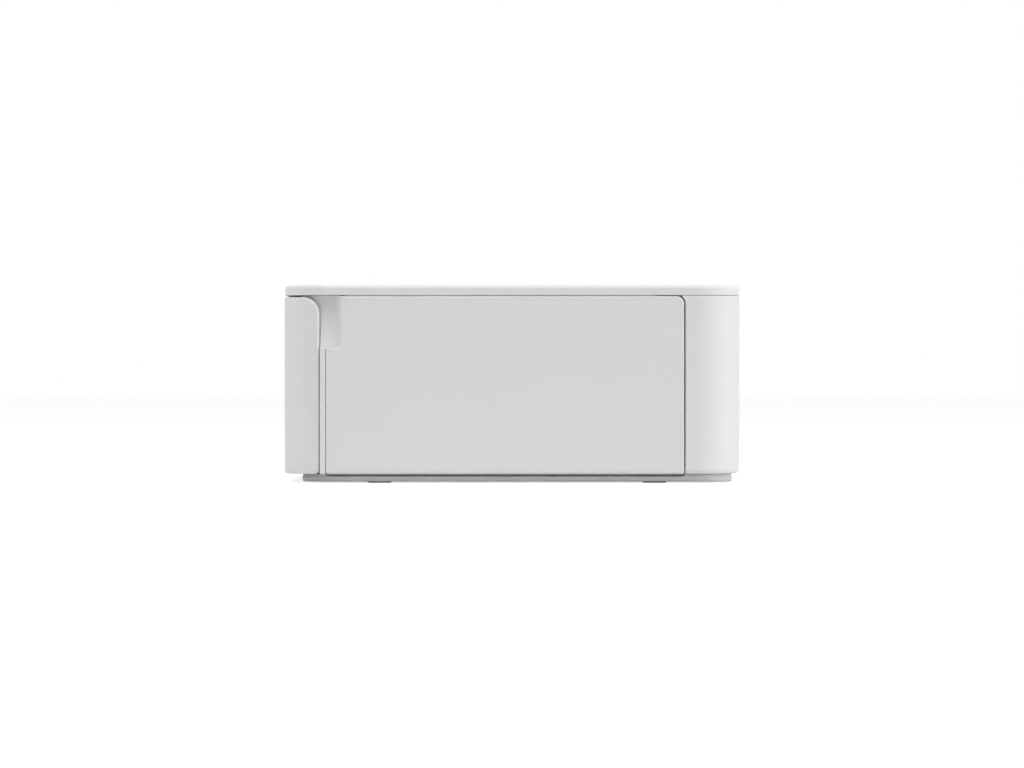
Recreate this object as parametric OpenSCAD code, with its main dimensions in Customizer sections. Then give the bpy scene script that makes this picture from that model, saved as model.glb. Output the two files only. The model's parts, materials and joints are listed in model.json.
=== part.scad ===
// Compact photo printer: a low white box whose right side is an ink door and whose front is a fold-down cover.
// Millimetres. +Z up, front at -Y, right side at +X. Origin at the middle of the footprint, on the table.

/* [Body] */
// Overall width, left to right
body_w = 182.2; // [164:0.1:200]
// Overall depth, front to rear
body_d = 133; // [120:0.5:146]
// Overall height, feet included
body_h = 57.6; // [52:0.1:64]
// Radius of the upright corners
corner_r = 13; // [11:0.5:15]
// Thickness of the moulded walls
wall = 2; // [1.8:0.1:2.4]
// Parting line between fixed shells
seam = 0.1; // [0.05:0.05:0.3]
// Height of the lower edge of the side walls
skirt_z = 2.65; // [2.4:0.05:3.2]

/* [Top plate] */
// Height of the top plate's edge band
top_edge = 3; // [2.8:0.1:3.6]
// Thickness of the deck that carries the controls
deck_t = 2; // [1.6:0.1:2.4]
// Rounding of the top plate's upper edge
edge_round = 1; // [0.4:0.1:1.4]
// How far the top plate's front edge stays behind the front cover's face
top_setback = 0.2; // [0:0.1:1]

/* [Front cover] */
// How far the cover wraps back round the sides
cover_wrap = 10.2; // [9.6:0.1:11]
// Gap between the cover's rear edge and the front frame
cover_gap = 0.45; // [0.4:0.05:0.8]
// Gap between the cover's top edge and the top plate
cover_top_gap = 0.55; // [0.45:0.05:0.9]
// Radius of the cover's upper rear corners
cover_corner_r = 5.2; // [4.5:0.1:7]
// Radius of the cover's lower rear corners
cover_toe_r = 1.4; // [0.8:0.1:1.6]
// Distance of the hinge line behind the cover's face
cover_hinge_in = 3.2; // [3:0.1:3.5]
// Height of the hinge line above the cover's lower edge
cover_hinge_up = 1.65; // [1.6:0.05:1.8]

/* [Ink door] */
// Depth of the fixed rear part of the right side
rear_part = 16.05; // [15.5:0.05:18]
// Gap between the door's front edge and the front frame
door_front_gap = 0.3; // [0.25:0.05:0.6]
// Gap between the door's rear edge and the housing
door_rear_gap = 0.5; // [0.45:0.05:0.8]
// Gap between the door's top edge and the top plate
door_top_gap = 0.33; // [0.25:0.01:0.6]
// Width of the finger notch, front to rear
notch_w = 3.5; // [3:0.1:6]
// Height of the finger notch below the door's top edge
notch_h = 15; // [12:0.5:18]
// Radius of the door's upper rear corner
door_corner_r = 2.2; // [1:0.1:3]
// Distance of the hinge line in from the door's face
door_hinge_in = 2.3; // [2.2:0.05:2.4]
// Distance of the hinge line from the door's rear edge
door_hinge_back = 6; // [5.6:0.1:6.5]

/* [Base] */
// Height of the rubber feet below the base
foot_h = 0.4; // [0.3:0.1:1]
// Foot length, across the body
foot_l = 14; // [10:0.5:16]
// Foot width, front to rear
foot_w = 7; // [5:0.5:9]
// Inset of the base from the sides
base_in_side = 2.4; // [2.3:0.1:3.5]
// Inset of the base from the front
base_in_front = 5.2; // [5.2:0.1:6.5]
// Inset of the base from the rear
base_in_rear = 2.1; // [2.1:0.1:3.5]
// Height of the base's visible plinth
plinth_h = 1.4; // [1:0.1:1.7]
// Depth of the dark groove between plinth and walls
groove = 2.2; // [1:0.1:3]
// Thickness of the base's floor
base_t = 1.6; // [1.4:0.1:1.8]
// Height of the base's rim
rim_z = 4.4; // [4.2:0.1:4.5]

/* [Screen] */
// Width of the screen lens
lens_w = 82; // [70:1:84]
// Depth of the screen lens
lens_d = 62; // [50:1:68]
// Thickness of the screen lens
lens_t = 1; // [0.8:0.1:1.2]
// Place of the screen's centre along the width
screen_x = -20; // [-24:0.5:-19]
// Place of the screen's centre along the depth
screen_y = 4; // [-2:0.5:8]

/* [Controls] */
// Distance of the controls' centre line from the right side
keys_in = 36.1; // [34:0.1:39]
// Outer radius of the direction ring
ring_r = 17; // [16:0.5:18]
// Radius of the confirm button in the ring
ok_r = 6.5; // [5.5:0.1:6.6]
// Radius of the power button
power_r = 4.5; // [3.5:0.1:5.5]
// Radius of the back and menu buttons
small_r = 3.5; // [3:0.1:4.5]
// Length of the print button
print_l = 26; // [20:0.5:30]
// Width of the print button
print_w = 10; // [8:0.5:11]
// Travel of the buttons
key_travel = 0.4; // [0.3:0.05:0.5]
// Gap round a button in its hole
key_gap = 0.3; // [0.25:0.05:0.4]

/* [Paper path] */
// Room for the drives, between the left side and the mechanism
left_room = 32.1; // [32.1:0.1:35]
// Room for the ink door's liner, between the mechanism and the right side
right_room = 25.1; // [24.6:0.1:28]
// Room for the boards, between the mechanism and the deck
head_room = 8.6; // [8.6:0.1:10]
// Height of the paper path
paper_z = 19.3; // [19:0.1:19.8]
// Height of the paper cassette's room
bay_h = 10.6; // [10:0.1:11]
// Radius of the platen roller
platen_r = 6; // [5:0.1:6.5]
// Radius of the feed roller
feed_r = 4; // [3.6:0.1:4.2]
// Radius of the pickup roller
pickup_r = 7; // [6:0.1:7.2]
// Radius of the roller shafts
shaft_r = 2; // [1.8:0.05:2.1]
// Radial clearance of a shaft in its bush
run_fit = 0.05; // [0.02:0.01:0.1]

/* [Ink cassette] */
// Wall of the cassette's tubes
tube_wall = 1.4; // [1:0.1:1.6]
// Radius of the spools' cores, as a part of the full roll's
core_part = 0.5294; // [0.45:0.0001:0.6]
// Room round the full roll of film in its tube
film_room = 1.1; // [0.8:0.1:3]
// How much of the film is on the take-up spool, as a part of a full roll's build-up
film_used = 0.5; // [0.1:0.05:0.9]
// Thickness of the ink film's web
film_t = 0.15; // [0.1:0.01:0.2]
// Travel of the thermal head
head_travel = 4.2; // [3.8:0.1:4.3]

/* [Gears] */
// Module of the gear teeth
tooth_m = 0.5; // [0.5:0.01:0.5]
// Width of the gears
gear_w = 4; // [3:0.5:4]
// Teeth on the motors' pinions
pinion_n = 12; // [12:1:14]
// Teeth on the idler gear
idler_n = 40; // [38:1:40]
// Teeth on the feed roller's gear
feed_n = 36; // [34:1:36]
// Teeth on the take-up gear
takeup_n = 48; // [46:1:48]

/* [Hidden] */
$fn = 48;

// Named clearances
fit = 0.3;       // between pieces of different bodies
snug = 0.1;      // round a fixed piece in its seat
press = 0.02;    // round a shaft or pin that is held fast
eps = 0.01;      // overshoot of a cut
bite = 0.5;      // how deep a boss runs into the wall that carries it

// Outer shell
hw = body_w / 2;
hd = body_d / 2;
plate_z = body_h - top_edge;
shell_top = plate_z - seam;
deck_z = body_h - deck_t;
shell_h = shell_top - skirt_z;

// Front frame and front cover
frame_y0 = -hd + cover_wrap + cover_gap;
frame_t = 1.65;
frame_y1 = frame_y0 + frame_t;
cover_top = plate_z - cover_top_gap;
cover_y1 = -hd + cover_wrap;
cover_hinge_y = -hd + cover_hinge_in;
cover_hinge_z = skirt_z + cover_hinge_up;
cover_hinge_side = 18.1;
cover_hinge_x = hw - corner_r - cover_hinge_side;
cover_hinge_l = 7;
cover_knuckle_r = 1.55;
cover_knuckle_l = 5.4;
frame_knuckle_l = 4;
cover_pin_r = 0.75;
cover_arm_t = 1.2;
catch_x = 30;
catch_w = 6;
catch_t = 1.4;
catch_drop = 4;
catch_reach = 2.2;
front_mouth_z = 27;
front_mouth_in = 3;

// Ink door
door_y0 = frame_y1 + door_front_gap;
housing_door_y = hd - rear_part;
door_y1 = housing_door_y - door_rear_gap;
door_top = plate_z - door_top_gap;
notch_y = door_y0 + notch_w;
notch_z = door_top - notch_h;
notch_r = 0.7;
door_x0 = hw - wall;
door_hinge_x = hw - door_hinge_in;
door_hinge_y = door_y1 - door_hinge_back;
door_knuckle_r = 1.3;
door_pin_r = 0.6;
door_knuckle_l = 4;
door_sweep_r = norm([door_hinge_in, door_hinge_back]);
door_hinge_low = 6.5;
door_hinge_high = 10;
door_hinge_zs = [skirt_z + door_hinge_low, door_top - door_hinge_high];
rib_t = 1.2;
rib_front = 12;
rib_back = 9;
rib_low = 11.35;
rib_high = 10.27;
latch_l = 1.5;
latch_h = 6;
latch_in = 8;
latch_up = 23.35;
latch_reach = 4.8;

// Finger recess in the front frame
grip_in = 3.5;
grip_x = hw - grip_in;
grip_t = 1.6;
grip_z = notch_z + fit;
grip_rise = 7.5;
grip_floor = 1;
grip_lip = 0.5;
grip_back = 3.4;

// Base
base_z = foot_h;
foot_sink = 0.6;
foot_corner = 1.5;
floor_top = base_z + base_t;
foot_side = 12.7;
foot_x = hw - base_in_side - foot_side;
foot_front = 27.85;
foot_rear = 24.9;
foot_ys = [-hd + foot_front, hd - foot_rear];
base_r = corner_r - 2;
rim_t = 1.4;
column_r = 3.8;
boss_r = 2.4;
stay_r = 3;
stay_in = 9;
column_z = rim_z + fit;
corner_column = 5.5 / 13 * corner_r;
column_in = 3.1;
column_back = 6.2;
frame_column_in = 11.1;
columns = [
    [-hw + corner_r - corner_column, hd - corner_r + corner_column],
    [hw - corner_r + corner_column, hd - corner_r + corner_column],
    [-hw + wall + column_in, frame_y1 + column_back]
];
frame_column = [hw - frame_column_in, frame_y1 + column_r - bite];
screw_points = concat(columns, [frame_column]);
screw_r = 1;
screw_l = 7.5;
screw_head_r = 1.8;
screw_head_h = 1.3;

// Mechanism
bay_x0 = -hw + left_room;
bay_x1 = hw - right_room;
paper_x = (bay_x0 + bay_x1) / 2;
side_t = 1;
left_x = bay_x0 - side_t;
right_x = bay_x1 + side_t;
side_r = 2;
chassis_z = column_z - seam;
chassis_t = 1;
chassis_top = chassis_z + chassis_t;
chassis_front = 4.2;
chassis_rear = 0.45;
side_y0 = frame_y1 + chassis_front;
side_y1 = housing_door_y - chassis_rear;
side_top = deck_z - head_room;
bay_top = chassis_top + 0.2 + bay_h;
paper_gap = 0.1;
platen_y = 1;
platen_z = paper_z - paper_gap - platen_r;
platen_end = 6;
tube_reach = 20;
tubes = [platen_y - tube_reach, platen_y + tube_reach];
front_tube_y = tubes[0];
rear_tube_y = tubes[1];
feed_reach = 16;
feed_y = rear_tube_y + feed_reach;
feed_z = paper_z - paper_gap - feed_r;
feed_end = 8;
pinch_z = paper_z + paper_gap + feed_r;
pickup_reach = 19;
pickup_y = front_tube_y - pickup_reach;
pickup_z = bay_top + 0.5 + pickup_r;
pickup_w = 12;
pickup_dx = 14;
guide_gap = 0.6;
guide_t = 1;
guide_drop = 0.3;
bush_r = 2.8;
bush_l = 2.2;
shaft_end = 1.2;
tie_in = 5;
tie_w = 3;
tie_h = 3;
tie_drop = 1;
tie_ys = [side_y0 + tie_in, side_y1 - tie_in];
tie_z = side_top - tie_h - tie_drop;

// Boards
board_t = 1.2;
board_r = 2;
standoff_h = 1.6;
standoff_r = 1.4;
standoff_in = 5;
board_over = 2;
main_board_z = tie_z + tie_h + standoff_h;
power_board_w = 6.4;
power_board_x0 = 12;
power_board_x1 = 20;
power_board_in = 1;
power_board_up = 2;

// Ink cassette
tube_over = 1;
tube_head = 4.7;
tube_r = (side_top - tube_head - paper_z - tube_over) / 2;
tube_z = paper_z + tube_over + tube_r;
supply_r = tube_r - tube_wall - film_room;
core_r = supply_r * core_part;
takeup_r = core_r + (supply_r - core_r) * film_used;
cassette_in = 7;
cassette_out = 6;
cassette_x0 = bay_x0 + cassette_in;
cassette_x1 = bay_x1 + cassette_out;
cassette_cap = 1.5;
bar_l = 3;
grip_l = 14;
bar_h = 10;
bar_left = cassette_x0 + bar_l;
bar_right = cassette_x1 - grip_l;
film_z = paper_z + 0.15;
film_front_y = front_tube_y + takeup_r + fit;
film_rear_y = rear_tube_y - supply_r - fit;
film_in = 3;
film_x0 = bar_left + film_in;
film_x1 = bar_right - film_in;
film_slot = 1.2;
guide_r = 1;
guide_front_y = film_front_y + film_t + paper_gap + guide_r;
guide_rear_y = film_rear_y - film_t - paper_gap - guide_r;
guide_rod_z = film_z + film_t + paper_gap + guide_r;
hub_r = core_r * 2 / 3;
hub_l = 1.5;
coupler_r = hub_r * 2 / 3;
spool_disc = 1;
disc_room = 0.6;

// Thermal head
head_in = 2;
head_x0 = bar_left + head_in;
head_x1 = bar_right - head_in;
head_w = 10;
head_bead = 1;
head_step = 0.6;
head_slope = 0.7;
head_z = film_z + film_t + 0.2 + head_travel;
head_t = 3;
guide_pin_r = 1.2;
guide_top = 1.8;
guide_z = side_top - guide_top;
bracket_t = 1.4;
bracket_drop = 2.2;
bracket_z = guide_z - bracket_drop;
bracket_ear = 6;
sink_h = bracket_z - head_z - head_t;
sink_over = 1;
sink_plate = 3;
fin_t = 1.2;
fin_n = 5;

// Gears on the left of the left plate
gear_gap = 1.5;
gear_x = left_x - gear_gap - gear_w;
gear_plate_x = gear_x - gear_gap;
gear_plate_t = 1;
gear_plate_in = 3;
pressure = 20;
stud_r = 1.5;
idler_y = feed_y - tooth_m * (feed_n + idler_n) / 2;
idler_z = feed_z;
pinion_dir = 100;
pinion_y = idler_y + tooth_m * (idler_n + pinion_n) / 2 * cos(pinion_dir);
pinion_z = idler_z + tooth_m * (idler_n + pinion_n) / 2 * sin(pinion_dir);
ribbon_dir = 235;
ribbon_y = front_tube_y + tooth_m * (takeup_n + pinion_n) / 2 * cos(ribbon_dir);
ribbon_z = tube_z + tooth_m * (takeup_n + pinion_n) / 2 * sin(ribbon_dir);
feed_motor_r = 10;
feed_motor_l = 19;
ribbon_motor_r = 8;
ribbon_motor_l = 17;
motor_shaft_r = 1;
motor_shaft_l = 6;
motor_shaft_gap = 0.5;
shaft_out = 0.5;
post_r = 1.8;
post_in = 3;
post_front = 6;
gear_posts = [[pinion_y - feed_motor_r - 2, side_top - 10], [side_y1 - post_in, side_top - 11],
              [feed_y - tooth_m * feed_n / 2, chassis_z + post_r + 0.2]];
ribbon_posts = [[side_y0 + post_front, side_top - 12], [side_y0 + post_front, chassis_z + 8]];

// Controls
keys_x = hw - keys_in;
control_left = 27;
control_right = 23.5;
control_x0 = keys_x - control_left;
control_x1 = keys_x + control_right;
control_y0 = frame_y1 + column_back;
control_y1 = side_y1;
control_drop = 4.4;
control_z = deck_z - control_drop - board_t;
control_post_r = 2;
control_post_in = 3;
keys_y = -2;
power_back = 8;
power_y = control_y1 - power_back;
small_back = 15;
small_y = power_y - small_back;
small_dx = 13;
print_front = 10;
print_y = control_y0 + print_front;
switch_w = 3;
switch_h = 1.8;
plunger_r = 0.8;
plunger_h = 0.4;
plunger_z = control_z + board_t + switch_h + plunger_h;
stem_r = 1.2;
stem_z = plunger_z + key_travel + 0.2;
flange_t = 0.8;
flange_w = 1.1;
flange_z = deck_z - 0.2 - flange_t;
cap_top = body_h - 0.1;
ring_gap = key_gap + 0.1;
ring_hole_r = ok_r + 0.5;
pivot_z = plunger_z - 0.1;
ring_up = 1.8;
ring_z = pivot_z + ring_up;
ring_stem_r = 0.9;
ring_stem_in = 2;
ring_stem_x = ring_r - ring_stem_in;
ring_stem_gap = 0.6;
lug_x = 12.5;
lug_t = 1.2;
lug_w = 2.8;
lug_drop = 0.95;
trunnion_r = 0.6;
gimbal_t = 1.2;
gimbal_gap = 1;
gimbal_w = 2.9;
bracket_base_t = 0.4;
bracket_base_w = 3;
main_board_in = 2;
main_board_gap = 4;
main_board_x0 = bay_x0 + main_board_in;
main_board_x1 = control_x0 - main_board_gap;

// Screen
lens_r = 3;
screen_border = 4;
module_border = 2;
module_h = 3.6;

// Flat cables
cable_w = 20;
cable_side = 21;
cable_in = 8;
cable_t = 0.2;
key_cable_y = 5;
key_cable_w = 10;
key_cable_t = 0.15;
key_cable_in = 3;

// Left side ports
io_drop = 3.6;
io_z = side_top - io_drop;
io_x1 = gear_plate_x + 0.5;
io_wall = 0.3;
io_ledge_w = 6;
io_ledge_l = 4;
io_ledge_t = 2;
card_back = 24.2;
card_y = frame_y1 + card_back;
card_w = 24.6;
card_h = 2.6;
card_l = 18;
card_end = 1;
usb_back = 23;
usb_y = card_y + usb_back;
usb_w = 9;
usb_h = 3.2;
usb_l = 8;
usb_end = 0.8;
usb_tongue_w = 6;
usb_tongue_t = 0.6;
io_board_front = 14;
io_board_back = 8;

// Rear fittings
slot_in = 8.5;
slot_x0 = bay_x0 + slot_in;
slot_x1 = bay_x1 - slot_in;
slot_z = paper_z - 1.8;
slot_h = 5;
fan_s = 25;
fan_t = 10;
fan_rim = 1;
fan_hub_r = 4;
fan_rotor_r = 4.5;
fan_web = 1.6;
fan_side = 4.5;
fan_drop = 14.5;
fan_x = left_x - fan_side;
fan_z = side_top - fan_drop;
vent_n = 7;
vent_w = 1.6;
vent_pitch = 3;
vent_h = 20;
blade_n = 7;
blade_l = 12.4;
blade_w = 6;
blade_t = 0.8;
jack_r = 4;
jack_bore_r = 2.75;
jack_pin_r = 0.85;
jack_s = 9;
jack_l = 11;
jack_foot_l = 6;
jack_depth = 8;
jack_side = 18.5;
jack_x = hw - jack_side;
jack_z = 12.5;
battery_w = 40;
battery_x = 0;
battery_z0 = slot_z + slot_h + 5.5;
battery_z1 = side_top - 1;
battery_lap = 1.5;
battery_side = 3;
battery_t = 5;
lock_w = 7;
lock_h = 3;
lock_side = 13;
lock_x = hw - lock_side;
lock_z = 30;

// Bay liner
liner_in = 9.1;
liner_x1 = hw - liner_in;
liner_t = 2;
mouth_gap = 0.9;
mouth_y0 = front_tube_y - tube_r - mouth_gap;
mouth_y1 = rear_tube_y + tube_r + mouth_gap;
mouth_z0 = paper_z - 0.7;
mouth_z1 = tube_z + tube_r + 1.7;
duct_t = 1.2;
lever_y = mouth_y1 + 4.5;
lever_z = tube_z + 4.7;
lever_r = 3;
lever_t = 2;
lever_l = 9;
lever_h = 3;
lever_tip = 4.4;
lever_tip_t = 1.6;
lever_pin_r = 1;
lever_pin_l = 3;

// ---------- shared shapes ----------

// A block between two opposite corners
module block(a, b) { translate(a) cube(b - a); }

// Round bars along X, Y and Z
module bar_x(r, x0, x1, y, z) { translate([x0, y, z]) rotate([0, 90, 0]) cylinder(r = r, h = x1 - x0); }
module bar_y(r, y0, y1, x, z) { translate([x, y1, z]) rotate([90, 0, 0]) cylinder(r = r, h = y1 - y0); }
module bar_z(r, z0, z1, x, y) { translate([x, y, z0]) cylinder(r = r, h = z1 - z0); }

// A rectangle with round corners, between two corners
module round_rect(x0, x1, y0, y1, r) {
    translate([x0 + r, y0]) square([x1 - x0 - 2 * r, y1 - y0]);
    translate([x0, y0 + r]) square([x1 - x0, y1 - y0 - 2 * r]);
    for (x = [x0 + r, x1 - r], y = [y0 + r, y1 - r]) translate([x, y]) circle(r);
}

// The plan outline of the body, moved in by an inset
module plan(inset) { round_rect(-hw + inset, hw - inset, -hd + inset, hd - inset, corner_r - inset); }

// A profile drawn in Y and Z, drawn out along X
module along_x(x0, x1) { translate([x0, 0, 0]) rotate([90, 0, 90]) linear_extrude(x1 - x0) children(); }

// A profile drawn in X and Z, drawn out along Y
module along_y(y0, y1) { translate([0, y1, 0]) rotate([90, 0, 0]) linear_extrude(y1 - y0) children(); }

// Involute spur gear: tooth flanks as points of the involute of the base circle
function involute(rb, t) = [rb * (cos(t) + t * PI / 180 * sin(t)), rb * (sin(t) - t * PI / 180 * cos(t))];
function spin(p, a) = [p[0] * cos(a) - p[1] * sin(a), p[0] * sin(a) + p[1] * cos(a)];
function flank_angle(rb, r) = sqrt(max(0, pow(r / rb, 2) - 1)) * 180 / PI;
function tooth(n, a) = let(
        rp = tooth_m * n / 2,
        rb = rp * cos(pressure),
        rt = rp + 0.9 * tooth_m,
        rr = rp - 1.25 * tooth_m,
        at_pitch = flank_angle(rb, rp),
        half = 90 / n - 3.2 / n + at_pitch - atan(at_pitch * PI / 180),
        t1 = flank_angle(rb, rt),
        t0 = rr > rb ? flank_angle(rb, rr) : 0,
        steps = 4,
        rise = [for (i = [0:steps]) spin(involute(rb, t0 + (t1 - t0) * i / steps), -half)],
        foot = spin([rr, 0], -half))
    [for (p = concat([foot], rise)) spin(p, a),
     for (p = concat([for (i = [0:steps]) [rise[steps - i][0], -rise[steps - i][1]]], [[foot[0], -foot[1]]]))
        spin(p, a)];
function gear_points(n, phase) = [for (k = [0:n - 1]) each tooth(n, phase + 360 * k / n)];

// Angle that brings a gear of n2 teeth into mesh with one of n1 teeth that lies in the direction away from it
function mesh_phase(dir, n1, n2, phase1) = dir + 180 + 180 / n2 + (dir - phase1) * n1 / n2;
idler_phase = 0;
feed_phase = mesh_phase(0, idler_n, feed_n, idler_phase);
feed_pinion_phase = mesh_phase(pinion_dir, idler_n, pinion_n, idler_phase);
takeup_phase = 0;
ribbon_pinion_phase = mesh_phase(ribbon_dir, takeup_n, pinion_n, takeup_phase);

module gear(n, phase, y, z, bore) {
    translate([gear_x, y, z]) rotate([90, 0, 90]) difference() {
        linear_extrude(gear_w) polygon(gear_points(n, phase));
        translate([0, 0, -eps]) cylinder(r = bore, h = gear_w + 2 * eps);
        if (n > 20) translate([0, 0, gear_w / 2]) difference() {
            cylinder(r = tooth_m * n / 2 - 2.2, h = gear_w);
            cylinder(r = bore + 2, h = gear_w);
        }
    }
}

// ---------- shells ----------

// Section of the top plate's edge: a rim as deep as the corner radius, rounded at the top
function edge_section(reach, h, r) = concat(
    [[0, 0], [reach, 0]],
    [for (i = [0:6]) [reach - r + r * cos(15 * i), h - r + r * sin(15 * i)]],
    [[0, h]]);

module edge_strip(length) { rotate([90, 0, 90]) linear_extrude(length) children(); }

module top_blank() {
    x = hw - corner_r;
    y0 = -hd + top_setback + corner_r;
    y1 = hd - corner_r;
    section = edge_section(corner_r, top_edge, edge_round);
    translate([0, 0, plate_z]) {
        translate([-x, y0, 0]) cube([2 * x, y1 - y0, top_edge]);
        translate([-x, y1, 0]) edge_strip(2 * x) polygon(section);
        translate([x, y0, 0]) rotate([0, 0, 180]) edge_strip(2 * x) polygon(section);
        translate([x, y1, 0]) rotate([0, 0, -90]) edge_strip(y1 - y0) polygon(section);
        translate([-x, y0, 0]) rotate([0, 0, 90]) edge_strip(y1 - y0) polygon(section);
        translate([x, y1, 0]) rotate_extrude(angle = 90) polygon(section);
        translate([-x, y1, 0]) rotate([0, 0, 90]) rotate_extrude(angle = 90) polygon(section);
        translate([-x, y0, 0]) rotate([0, 0, 180]) rotate_extrude(angle = 90) polygon(section);
        translate([x, y0, 0]) rotate([0, 0, 270]) rotate_extrude(angle = 90) polygon(section);
    }
}

module lens_outline(margin) {
    round_rect(screen_x - lens_w / 2 - margin, screen_x + lens_w / 2 + margin,
               screen_y - lens_d / 2 - margin, screen_y + lens_d / 2 + margin, max(lens_r + margin, 0.5));
}

module print_outline(margin) {
    round_rect(keys_x - print_l / 2 - margin, keys_x + print_l / 2 + margin,
               print_y - print_w / 2 - margin, print_y + print_w / 2 + margin, print_w / 2 + margin - eps);
}

module top_plate() color("whitesmoke") {
    difference() {
        top_blank();
        translate([0, 0, plate_z - eps]) linear_extrude(deck_z - plate_z + eps)
            round_rect(-hw + wall, hw - wall, -hd + top_setback + wall, hd - wall, corner_r - wall);
        translate([0, 0, body_h - lens_t]) linear_extrude(lens_t + eps) lens_outline(snug);
        translate([0, 0, deck_z - eps]) linear_extrude(deck_t + 2 * eps) lens_outline(-screen_border);
        translate([0, 0, deck_z - eps]) linear_extrude(deck_t + 2 * eps) print_outline(key_gap);
        bar_z(ring_r + ring_gap, deck_z - eps, body_h + eps, keys_x, keys_y);
        bar_z(power_r + key_gap, deck_z - eps, body_h + eps, keys_x, power_y);
        for (dx = [-small_dx, small_dx])
            bar_z(small_r + key_gap, deck_z - eps, body_h + eps, keys_x + dx, small_y);
    }
    for (x = [control_x0 + control_post_in, control_x1 - control_post_in],
         y = [control_y0 + control_post_in, control_y1 - control_post_in])
        bar_z(control_post_r, control_z + board_t, deck_z + bite, x, y);
}

module screw_column(p, top) {
    difference() {
        bar_z(column_r, column_z, top, p[0], p[1]);
        bar_z(screw_r + run_fit, column_z - eps, column_z + screw_l + 0.5, p[0], p[1]);
    }
}

module main_housing() color("white") {
    difference() {
        union() {
            translate([0, 0, skirt_z]) linear_extrude(shell_h) difference() {
                plan(0);
                plan(wall);
            }
            for (y = [card_y, usb_y])
                block([-hw + wall - bite, y - io_ledge_w / 2, io_z - board_t - io_ledge_t],
                      [-hw + wall + io_ledge_l, y + io_ledge_w / 2, io_z - board_t]);
        }
        block([-hw - eps, -hd - eps, skirt_z - eps], [hw + eps, frame_y1 + seam, shell_top + eps]);
        block([hw - corner_r, -hd, skirt_z - eps], [hw + eps, housing_door_y, shell_top + eps]);
        rear_openings();
        block([-hw - eps, card_y - card_w / 2 - snug, io_z - snug],
              [-hw + wall + eps, card_y + card_w / 2 + snug, io_z + card_h + snug]);
        block([-hw - eps, usb_y - usb_w / 2 - snug, io_z - snug],
              [-hw + wall + eps, usb_y + usb_w / 2 + snug, io_z + usb_h + snug]);
    }
    for (p = columns) screw_column(p, shell_top);
}

module rear_openings() {
    y0 = hd - wall - eps;
    y1 = hd + eps;
    block([slot_x0, y0, slot_z], [slot_x1, y1, slot_z + slot_h]);
    for (i = [0:vent_n - 1]) translate([fan_x + (i - (vent_n - 1) / 2) * vent_pitch, 0, 0])
        block([-vent_w / 2, y0, fan_z - vent_h / 2], [vent_w / 2, y1, fan_z + vent_h / 2]);
    bar_y(jack_r + snug, y0, y1, jack_x, jack_z);
    block([battery_x - battery_w / 2 - snug, y0, battery_z0 - snug],
          [battery_x + battery_w / 2 + snug, y1, battery_z1 + snug]);
    block([lock_x - lock_w / 2, y0, lock_z - lock_h / 2], [lock_x + lock_w / 2, y1, lock_z + lock_h / 2]);
}

module base_pan() color("gainsboro") {
    difference() {
        union() {
            difference() {
                union() {
                    translate([0, 0, base_z]) linear_extrude(plinth_h) base_outline(0);
                    translate([0, 0, base_z + base_t / 2]) linear_extrude(rim_z - base_z - base_t / 2)
                        base_outline(groove);
                }
                translate([0, 0, floor_top]) linear_extrude(rim_z) base_outline(groove + rim_t);
                bar_z(door_sweep_r + fit, skirt_z - fit, rim_z + 1, door_hinge_x, door_hinge_y);
            }
            for (p = screw_points) bar_z(boss_r, floor_top - bite, chassis_z, p[0], p[1]);
            for (x = [bay_x0 + stay_in, bay_x1 - stay_in], y = tie_ys)
                bar_z(stay_r, floor_top - bite, chassis_z, x, y);
        }
        for (x = [-foot_x, foot_x], y = foot_ys) translate([x, y, base_z - eps]) foot(snug, foot_sink + eps);
        for (p = screw_points) {
            bar_z(screw_r + 0.1, base_z - eps, chassis_z + eps, p[0], p[1]);
            bar_z(screw_head_r + 0.1, base_z - eps, base_z + screw_head_h + 0.1, p[0], p[1]);
        }
    }
}

module base_outline(inset) {
    round_rect(-hw + base_in_side + inset, hw - base_in_side - inset,
               -hd + base_in_front + inset, hd - base_in_rear - inset, base_r - inset);
}

module foot(margin, h) {
    linear_extrude(h) round_rect(-foot_l / 2 - margin, foot_l / 2 + margin,
                                 -foot_w / 2 - margin, foot_w / 2 + margin, foot_corner);
}

module feet() color("dimgray")
    for (x = [-foot_x, foot_x], y = foot_ys) translate([x, y, 0]) foot(0, foot_h + foot_sink);

// The cover's outline from the side: square at the front, round at its two rear corners
module cover_side() {
    difference() {
        translate([-hd - 1, skirt_z]) square([cover_wrap + 1, cover_top - skirt_z]);
        translate([cover_y1 - cover_corner_r, cover_top - cover_corner_r]) difference() {
            square(cover_corner_r + 1);
            circle(cover_corner_r);
        }
        translate([cover_y1 - cover_toe_r, skirt_z + cover_toe_r]) difference() {
            translate([0, -cover_toe_r - 1]) square(cover_toe_r + 1);
            circle(cover_toe_r);
        }
    }
}

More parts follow.
